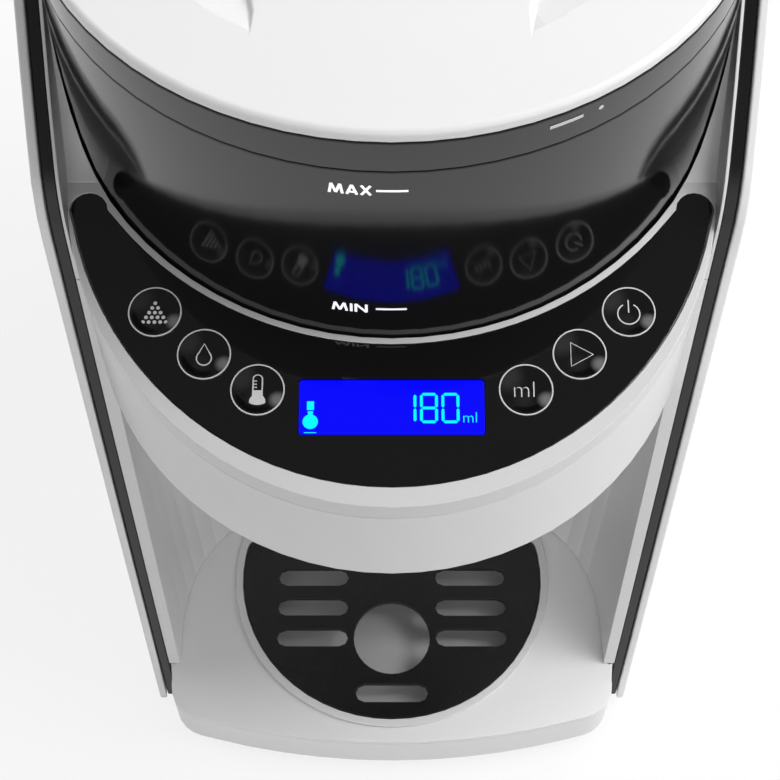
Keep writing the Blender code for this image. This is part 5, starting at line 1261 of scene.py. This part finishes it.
@dataclass
class PowderContainer:
    """The smoked container, its ring and floor, and the marks printed on them."""

    radius: float = 110.7 * MM
    wall_edge: float = 0.6 * MM
    ring_edge: float = 0.5 * MM
    floor_edge: float = 0.4 * MM
    lift: float = 0.02 * MM
    print_height: float = 0.05 * MM
    max_level: float = 324.9 * MM
    max_span: Point = (-17.9 * MM, -5.45 * MM)
    max_gap: float = 1.1 * MM
    min_level: float = 264.7 * MM
    min_span: Point = (-18.6 * MM, -7.4 * MM)
    min_gap: float = 2.5 * MM
    letters: float = 5.1 * MM
    line: float = 0.85 * MM
    bar_line: float = 0.9 * MM
    bar_end: float = 4.6 * MM
    lock_level: float = 341.7 * MM
    lock_line: float = 1.3 * MM
    lock_turns: Point = (22.7, 28.0)
    dot_turn: float = 31.0
    dot_radius: float = 0.8 * MM

    def build(self) -> list[Piece]:
        """Round the container's rims and print the level marks and lock marks."""
        made = [self.wall("powder_container", self.wall_edge), self.wall("lid_ring", self.ring_edge)]
        made.append(refined("container_floor", Look.SMOKE, self.floor_edge, segments=2))
        made.append(self.level("max_mark", "MAX", self.max_level, self.max_span, self.max_gap))
        made.append(self.level("min_mark", "MIN", self.min_level, self.min_span, self.min_gap))
        start, end = (self.radius * math.radians(turn) for turn in self.lock_turns)
        bar = self.strip("lock_bar", start, end, self.lock_level, self.lock_line)
        centre = (self.radius * math.radians(self.dot_turn), self.lock_level)
        loop = arc(centre, self.dot_radius, start=0, end=345, steps=23)
        dot = plate("lock_dot", loop, 0, self.print_height)
        locks = wrapped(joined("lock_marks", [bar, dot]), self.radius, self.lift)
        made.append(settle(locks, "lid_ring", Look.KEY_INK))
        return made

    def wall(self, node: str, edge: float) -> Piece:
        """A round wall of the container, out to the radius that the photograph shows.

        Args:
            node: The wall's CAD node.
            edge: Width of its edges' rounding.
        Returns:
            The dressed wall.
        """
        piece = bare_copy(node)
        grown = self.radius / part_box(node)[1].x
        piece.scale = (grown, grown, 1)
        return settle(softened(applied(piece), edge), node, Look.SMOKE, stands_for=True)

    def strip(self, name: str, start: float, end: float, level: float, height: float) -> Piece:
        """A flat bar fine enough along its length to bend round the container.

        Args:
            name: The bar's name.
            start: Its left end along the wall.
            end: Its right end along the wall.
            level: The height of its middle.
            height: How high it is.
        Returns:
            The bar, still flat.
        """
        steps = 12
        span = [start + (end - start) * step / steps for step in range(steps + 1)]
        low, high = level - height / 2, level + height / 2
        loop = [(x, low) for x in span] + [(x, high) for x in reversed(span)]
        return with_modifier(plate(name, loop, 0, self.print_height), "TRIANGULATE")

    def level(self, name: str, words: str, level: float, span: Point, gap: float) -> Piece:
        """One level mark: its word and a short bar.

        Args:
            name: The piece's name.
            words: MAX or MIN.
            level: The height that it marks.
            span: The word's left and right ends along the wall.
            gap: The space between the word and its bar.
        Returns:
            The print, bent round the container.
        """
        low, high = (span[0], level - self.letters / 2), (span[1], level + self.letters / 2)
        word = drawn(name, words, low, high, self.line, self.print_height)
        bar = self.strip(f"{name}_bar", span[1] + gap, self.bar_end, level, self.bar_line)
        mark = wrapped(joined(name, [*word, bar]), self.radius, self.lift)
        # The white ink glows: painted glow that keeps the marks bright on the dark smoked wall
        return settle(mark, "powder_container", Look.INK)


@dataclass
class Lid:
    """The white lid with its two ramped finger wells, and its seal."""

    edge: float = 0.6 * MM
    seal_edge: float = 0.5 * MM
    fine: float = 8.0
    near: float = 0.06 * MM
    bar_half: float = 38.0 * MM
    bar_end: float = 75.39 * MM
    flare: float = 0.7 * MM
    waist: float = 6.0 * MM
    lean: float = 1.3
    cuts: int = 19

    def build(self) -> list[Piece]:
        """Round the lid's and seal's edges; the wells' shallow edges are kept crisp."""
        shape = softened(self.waisted(bare_copy("lid_top")), self.edge, shade=self.fine)
        lid = settle(shape, "lid_top", Look.WHITE, stands_for=True)
        return [lid, refined("lid_seal", Look.SILICONE, self.seal_edge, segments=2)]

    def waisted(self, piece: Piece) -> Piece:
        """Draw the grip bar's sides in towards its middle and lean them outwards, as a mould needs.

        Args:
            piece: The lid's copy.
        Returns:
            The same piece.
        """
        top = max(vertex.co.z for vertex in piece.data.vertices)
        for vertex in piece.data.vertices:
            if top - vertex.co.z < self.near:
                vertex.co.z = top
        with editing(piece, "EDGE"):
            bpy.ops.mesh.select_all(action="DESELECT")
        for edge in piece.data.edges:
            ends = [piece.data.vertices[index].co for index in edge.vertices]
            beside = all(abs(abs(end.x) - self.bar_half) < self.near for end in ends)
            upper = all(top - end.z < self.near for end in ends)
            edge.select = beside and upper and ends[0].x * ends[1].x > 0
        bpy.ops.object.mode_set(mode="EDIT")
        bpy.ops.mesh.subdivide(number_cuts=self.cuts)
        bpy.ops.object.mode_set(mode="OBJECT")
        for vertex in piece.data.vertices:
            if abs(abs(vertex.co.x) - self.bar_half) < self.near:
                along = 1 - (vertex.co.y / self.bar_end) ** 2
                shift = self.flare - self.waist * max(along, 0.0) + self.lean * (top - vertex.co.z)
                vertex.co.x += math.copysign(shift, vertex.co.x)
        return piece


@dataclass
class Casing:
    """The white and pale shells, the black trims and the base."""

    panel_edge: float = 0.8 * MM
    trim_edge: float = 0.5 * MM
    shell_edge: float = 0.7 * MM
    fine_edge: float = 0.25 * MM

    def build(self) -> list[Piece]:
        """Round the edges of every casing part."""
        made = []
        for side in ("left", "right"):
            made.append(refined(f"side_panel_{side}", Look.WHITE, self.panel_edge))
            made.append(refined(f"trim_{side}", Look.BLACK, self.trim_edge))
        for node in ("base_pan", "base_deck", "rear_cover"):
            made.append(refined(node, Look.WHITE, self.fine_edge, segments=2))
        for node in ("main_housing", "container_cradle", "cradle_floor"):
            made.append(refined(node, Look.PALE, self.fine_edge, segments=2))
        made.append(refined("head_bowl", Look.PALE, self.shell_edge))
        return made


@dataclass
class Feet:
    """Four rubber feet with a grooved sole."""

    height: float = 5.7 * MM
    radius: float = 10.0 * MM
    sole_radius: float = 9.0 * MM
    heel: float = 1.4 * MM
    groove: float = 0.6 * MM
    groove_width: float = 1.2 * MM
    groove_slope: float = 0.2 * MM
    groove_outers: Point = (7.4 * MM, 4.6 * MM)
    hub: float = 1.4 * MM

    def build(self) -> list[Piece]:
        """Turn one foot and copy it under each corner."""
        profile = [(0.0, self.height), (self.radius, self.height), (self.radius, self.heel)]
        profile.append((self.sole_radius, 0.0))
        for outer in self.groove_outers:
            inner = outer - self.groove_width
            profile += [(outer, 0.0), (outer - self.groove_slope, self.groove)]
            profile += [(inner + self.groove_slope, self.groove), (inner, 0.0)]
        profile += [(self.hub, 0.0), (self.hub - self.groove_slope, self.groove), (0.0, self.groove)]
        return set_at_corners(lathe("foot", profile, steps=40), "foot", "sole", Look.RUBBER)


@dataclass
class Screws:
    """Four base screws with a domed head and a cross recess."""

    shaft: float = 1.6 * MM
    core: float = 1.28 * MM
    point: float = 1.6 * MM
    point_radius: float = 0.8 * MM
    thread: float = 0.7 * MM
    flank: float = 0.15 * MM
    head: float = 3.2 * MM
    head_depth: float = 2.0 * MM
    # Share of the head's radius, and height above its foot
    dome: tuple[Point, ...] = ((0.0, 0.0), (0.7, 0.15 * MM), (0.95, 0.6 * MM), (1.0, 1.1 * MM))
    cross: float = 0.9 * MM
    cross_reach: float = 1.984 * MM
    cross_depth: float = 1.1 * MM
    cross_edge: float = 0.05 * MM

    def build(self) -> list[Piece]:
        """Turn one screw, cut its cross and copy it into each boss."""
        low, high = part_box("base_screw_1")
        foot, tip = low.z, high.z
        level = foot + self.head_depth
        profile = [(self.head * share, foot + rise) for share, rise in self.dome]
        profile += [(self.head, level), (self.shaft, level)]
        while level < tip - self.point:
            level += self.thread
            profile += [(self.core, level), (self.shaft, level + self.flank)]
        profile += [(self.point_radius, tip), (0.0, tip)]
        first = lathe("screw", profile, steps=24)
        half = self.cross / 2
        for half_x, half_y in ((half, self.cross_reach), (self.cross_reach, half)):
            corners = (-half_x, -half_y, foot - MM), (half_x, half_y, foot + self.cross_depth)
            slot = block("cross", *corners, self.cross_edge)
            with_modifier(first, "BOOLEAN", object=slot, operation="DIFFERENCE", solver="EXACT")
            bpy.data.objects.remove(slot)
        return set_at_corners(smooth(first), "base_screw", "thread", Look.STEEL)


@dataclass
class BottleBay:
    """The drip tray, its slotted cover, the funnel and its slide."""

    edge: float = 0.5 * MM
    funnel_edge: float = 0.4 * MM

    def build(self) -> list[Piece]:
        """Round the edges of the tray, cover, funnel and holder."""
        return [
            refined("drip_tray", Look.PALE, self.edge),
            refined("tray_cover", Look.TRAY_BLACK, self.edge),
            refined("mixing_funnel", Look.SMOKE_CLEAR, self.funnel_edge, segments=2),
            refined("funnel_holder", Look.PALE, self.edge),
        ]


@dataclass
class WaterTank:
    """The clear tank with its hinged lid, valve and level marks, and the inlet below it."""

    edge: float = 0.6 * MM
    valve_edge: float = 0.3 * MM
    inlet_edge: float = 0.5 * MM
    face_y: float = 166.71 * MM
    scale_x: float = -60 * MM
    print_height: float = 0.05 * MM
    # Each level's words and how wide they are
    levels: tuple[tuple[str, float], ...] = (
        ("250", 7.5 * MM),
        ("500", 7.5 * MM),
        ("750", 7.5 * MM),
        ("1000", 10 * MM),
        ("MAX", 7.5 * MM),
    )
    first_level: float = 135 * MM
    level_pitch: float = 38 * MM
    words_half: float = 2 * MM
    tick_half: float = 0.3 * MM
    tick_span: Point = (2 * MM, 10 * MM)
    pin_x: float = 4.5 * MM
    pin_half: Point = (0.7 * MM, 2.4 * MM)
    pin_length: float = 6.6 * MM
    pin_inset: float = 8.2 * MM
    pin_edge: float = 0.25 * MM

    def build(self) -> list[Piece]:
        """Round the tank's edges and print its levels on the back."""
        made = [
            refined("water_tank", Look.CLEAR, self.edge),
            refined("tank_lid", Look.SMOKE_CLEAR, self.edge),
            refined("tank_valve", Look.NYLON, self.valve_edge, segments=2),
            refined("power_inlet", Look.TRAY_BLACK, self.inlet_edge),
        ]
        return made + [self.scale()] + self.pins()

    def scale(self) -> Piece:
        """The tank's scale: a tick for each level with its number, seen from behind."""
        marks = []
        for index, (words, width) in enumerate(self.levels):
            level = self.first_level + index * self.level_pitch
            low, high = (-width, level - self.words_half), (0.0, level + self.words_half)
            marks.append(lettering(f"level_{index}", words, low, high, self.print_height, weight=0.02))
            tick = box_loop(*self.tick_span, level - self.tick_half, level + self.tick_half)
            marks.append(plate(f"tick_{index}", tick, 0, self.print_height))
        turn = Matrix.Rotation(math.pi, 4, "Z") @ Matrix.Rotation(math.radians(90), 4, "X")
        place = Matrix.Translation((self.scale_x, self.face_y, 0)) @ turn
        return settle(moved_by(joined("tank_levels", marks), place), "water_tank", Look.DARK_INK)

    def pins(self) -> list[Piece]:
        """The inlet's two blades."""
        low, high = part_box("power_inlet")
        middle, back = (low + high) / 2, high.y - self.pin_inset
        across, up = self.pin_half
        made = []
        for number, side in ((1, -1), (3, 1)):
            x = middle.x + side * self.pin_x
            start = (x - across, back, middle.z - up)
            end = (x + across, back + self.pin_length, middle.z + up)
            pin = block(f"inlet_pin_{number}", start, end, self.pin_edge)
            made.append(settle(pin, "power_inlet", Look.STEEL))
        return made


@dataclass
class Works:
    """What turns, heats and pumps inside, and the display's module."""

    rows: tuple[tuple[str, Look, float], ...] = (
        ("stirrer", Look.PALE, 0.5 * MM),
        ("measuring_wheel", Look.NYLON, 0.35 * MM),
        ("gear_motor", Look.STEEL, 0.4 * MM),
        ("motor_bracket", Look.STEEL, 0.4 * MM),
        ("heater_tank", Look.STEEL, 0.4 * MM),
        ("water_nozzle", Look.STEEL, 0.4 * MM),
        ("water_pump", Look.NYLON, 0.4 * MM),
        ("lcd_module", Look.MODULE, 0.3 * MM),
    )

    def build(self) -> list[Piece]:
        """Round the inner parts' edges in their own finishes."""
        return [refined(node, look, edge, segments=2) for node, look, edge in self.rows]


@dataclass(frozen=True)
class Lamp:
    """A soft square lamp, placed by its azimuth from +X and its height, both in degrees."""

    name: str
    azimuth: float
    height: float
    power: float
    size: float = 1.0
    distance: float = 2.0


@dataclass
class Studio:
    """A pale floor, a soft sky, the lamps and the camera."""

    floor_size: float = 8.0
    floor_drop: float = 0.2 * MM
    camera_at: tuple[float, float, float] = (0.0, -393.194 * MM, 703.7135 * MM)
    camera_turn: float = math.radians(30.04)
    lens: float = PHOTO_FOCAL / PHOTO_SIDE * SENSOR
    shift: float = -1.8 / PHOTO_SIDE
    clip: float = 10 * MM
    aim: tuple[float, float, float] = (0.0, -0.03, 0.2)
    lamp_rows: tuple[Lamp, ...] = (
        Lamp("top_lamp", 0, 65, 20.0),
        Lamp("back_lamp", 45, 40, 13.0),
        Lamp("side_lamp", 0, 40, 7.0),
        Lamp("right_lamp", 0, 15, 8.5),
        Lamp("front_lamp", 270, 15, 12.0),
        Lamp("left_back_lamp", 155, 20, 7.0),
    )

    def build(self) -> None:
        """Set the floor, the light and the camera."""
        self.floor()
        self.world()
        self.lamps()
        self.camera()
        bpy.context.scene.view_settings.view_transform = "Standard"

    def floor(self) -> None:
        """A wide matt floor that looks white to the camera and keeps the machine's shadow."""
        take()
        bpy.ops.mesh.primitive_plane_add(size=self.floor_size, location=(0, 0, -self.floor_drop))
        floor = bpy.context.object
        floor.name = "studio_floor"
        paper = bpy.data.materials.new("floor_paper")
        paper.use_nodes = True
        tree = paper.node_tree
        tree.nodes.clear()
        path = add_node(tree, "LightPath", {})
        seen = {0: path.outputs["Is Camera Ray"], 1: path.outputs["Is Glossy Ray"]}
        direct = add_node(tree, "Math", seen, operation="MAXIMUM")
        through = {0: direct, 1: path.outputs["Is Transmission Ray"]}
        any_view = add_node(tree, "Math", through, operation="MAXIMUM")
        matt = add_node(tree, "BsdfDiffuse", {"Color": linear("#BDBDBD")})
        bright = add_node(tree, "BsdfDiffuse", {"Color": linear("#F4F4F4")})
        glow = add_node(tree, "Emission", {"Color": linear("#FFFFFF"), "Strength": 1.0})
        white = add_node(tree, "MixShader", {0: 0.82, 1: bright, 2: glow})
        both = add_node(tree, "MixShader", {0: any_view, 1: matt, 2: white})
        add_node(tree, "OutputMaterial", {"Surface": both})
        floor.data.materials.append(paper)

    def world(self) -> None:
        """A soft sky: even for matt faces, and dark overhead with bright sides for polished ones."""
        world = bpy.data.worlds.new("studio_sky")
        bpy.context.scene.world = world
        world.use_nodes = True
        tree = world.node_tree
        tree.nodes.clear()
        way = add_node(tree, "TexCoord", {}).outputs["Generated"]
        axes = add_node(tree, "SeparateXYZ", {0: way})
        side = {"Value": axes.outputs[0], "From Min": -0.7, "From Max": 0.7, "To Min": 0.14, "To Max": 0.2}
        soft = add_node(tree, "MapRange", side, interpolation_type="SMOOTHSTEP")
        rise = {"Value": axes.outputs[2], "From Min": 0.35, "From Max": 0.95, "To Min": 0.95, "To Max": 0.2}
        mirror = add_node(tree, "MapRange", rise, interpolation_type="SMOOTHSTEP")
        path = add_node(tree, "LightPath", {})
        strength = {0: path.outputs["Is Glossy Ray"], 2: soft, 3: mirror}
        level = add_node(tree, "Mix", strength, data_type="FLOAT")
        seen = {0: path.outputs["Is Camera Ray"], 2: level, 3: 1.0}
        final = add_node(tree, "Mix", seen, data_type="FLOAT")
        sky = add_node(tree, "Background", {"Color": linear("#FFFFFF"), "Strength": final})
        add_node(tree, "OutputWorld", {"Surface": sky})

    def lamps(self) -> None:
        """Soft square lamps round the machine, most of their light from high on the right."""
        for row in self.lamp_rows:
            turn, lift = math.radians(row.azimuth), math.radians(row.height)
            flat = math.cos(lift)
            way = Vector((math.cos(turn) * flat, math.sin(turn) * flat, math.sin(lift)))
            take()
            bpy.ops.object.light_add(type="AREA", location=Vector(self.aim) + way * row.distance)
            lamp = bpy.context.object
            lamp.name = row.name
            lamp.rotation_euler = way.to_track_quat("Z", "Y").to_euler()
            lamp.data.size = row.size
            lamp.data.energy = row.power
            lamp.visible_glossy = False

    def camera(self) -> None:
        """The camera of the photograph."""
        take()
        bpy.ops.object.camera_add(location=self.camera_at, rotation=(self.camera_turn, 0, 0))
        camera = bpy.context.object
        camera.name = "photo_camera"
        camera.data.lens = self.lens
        camera.data.sensor_width = SENSOR
        camera.data.shift_x = self.shift
        camera.data.clip_start = self.clip
        bpy.context.scene.camera = camera


def dress_frame() -> None:
    """Give every CAD node the finish of its slot, shown or not."""
    for node, carrier in frame["nodes"].items():
        SLOT_LOOKS[slot_of(node)].value.put_on(carrier)


def main() -> None:
    """Build every sub-assembly in order and report its pieces."""
    logging.basicConfig(level=logging.INFO, format="%(name)s: %(message)s")
    Studio().build()
    dress_frame()
    parts = [Casing(), Lid(), PowderContainer(), Panel(), BottleBay(), WaterTank(), Feet(), Screws(), Works()]
    for part in parts:
        pieces = part.build()
        LOG.info("%s: %s", type(part).__name__, ", ".join(piece.name for piece in pieces))


if __name__ == "__main__":
    main()
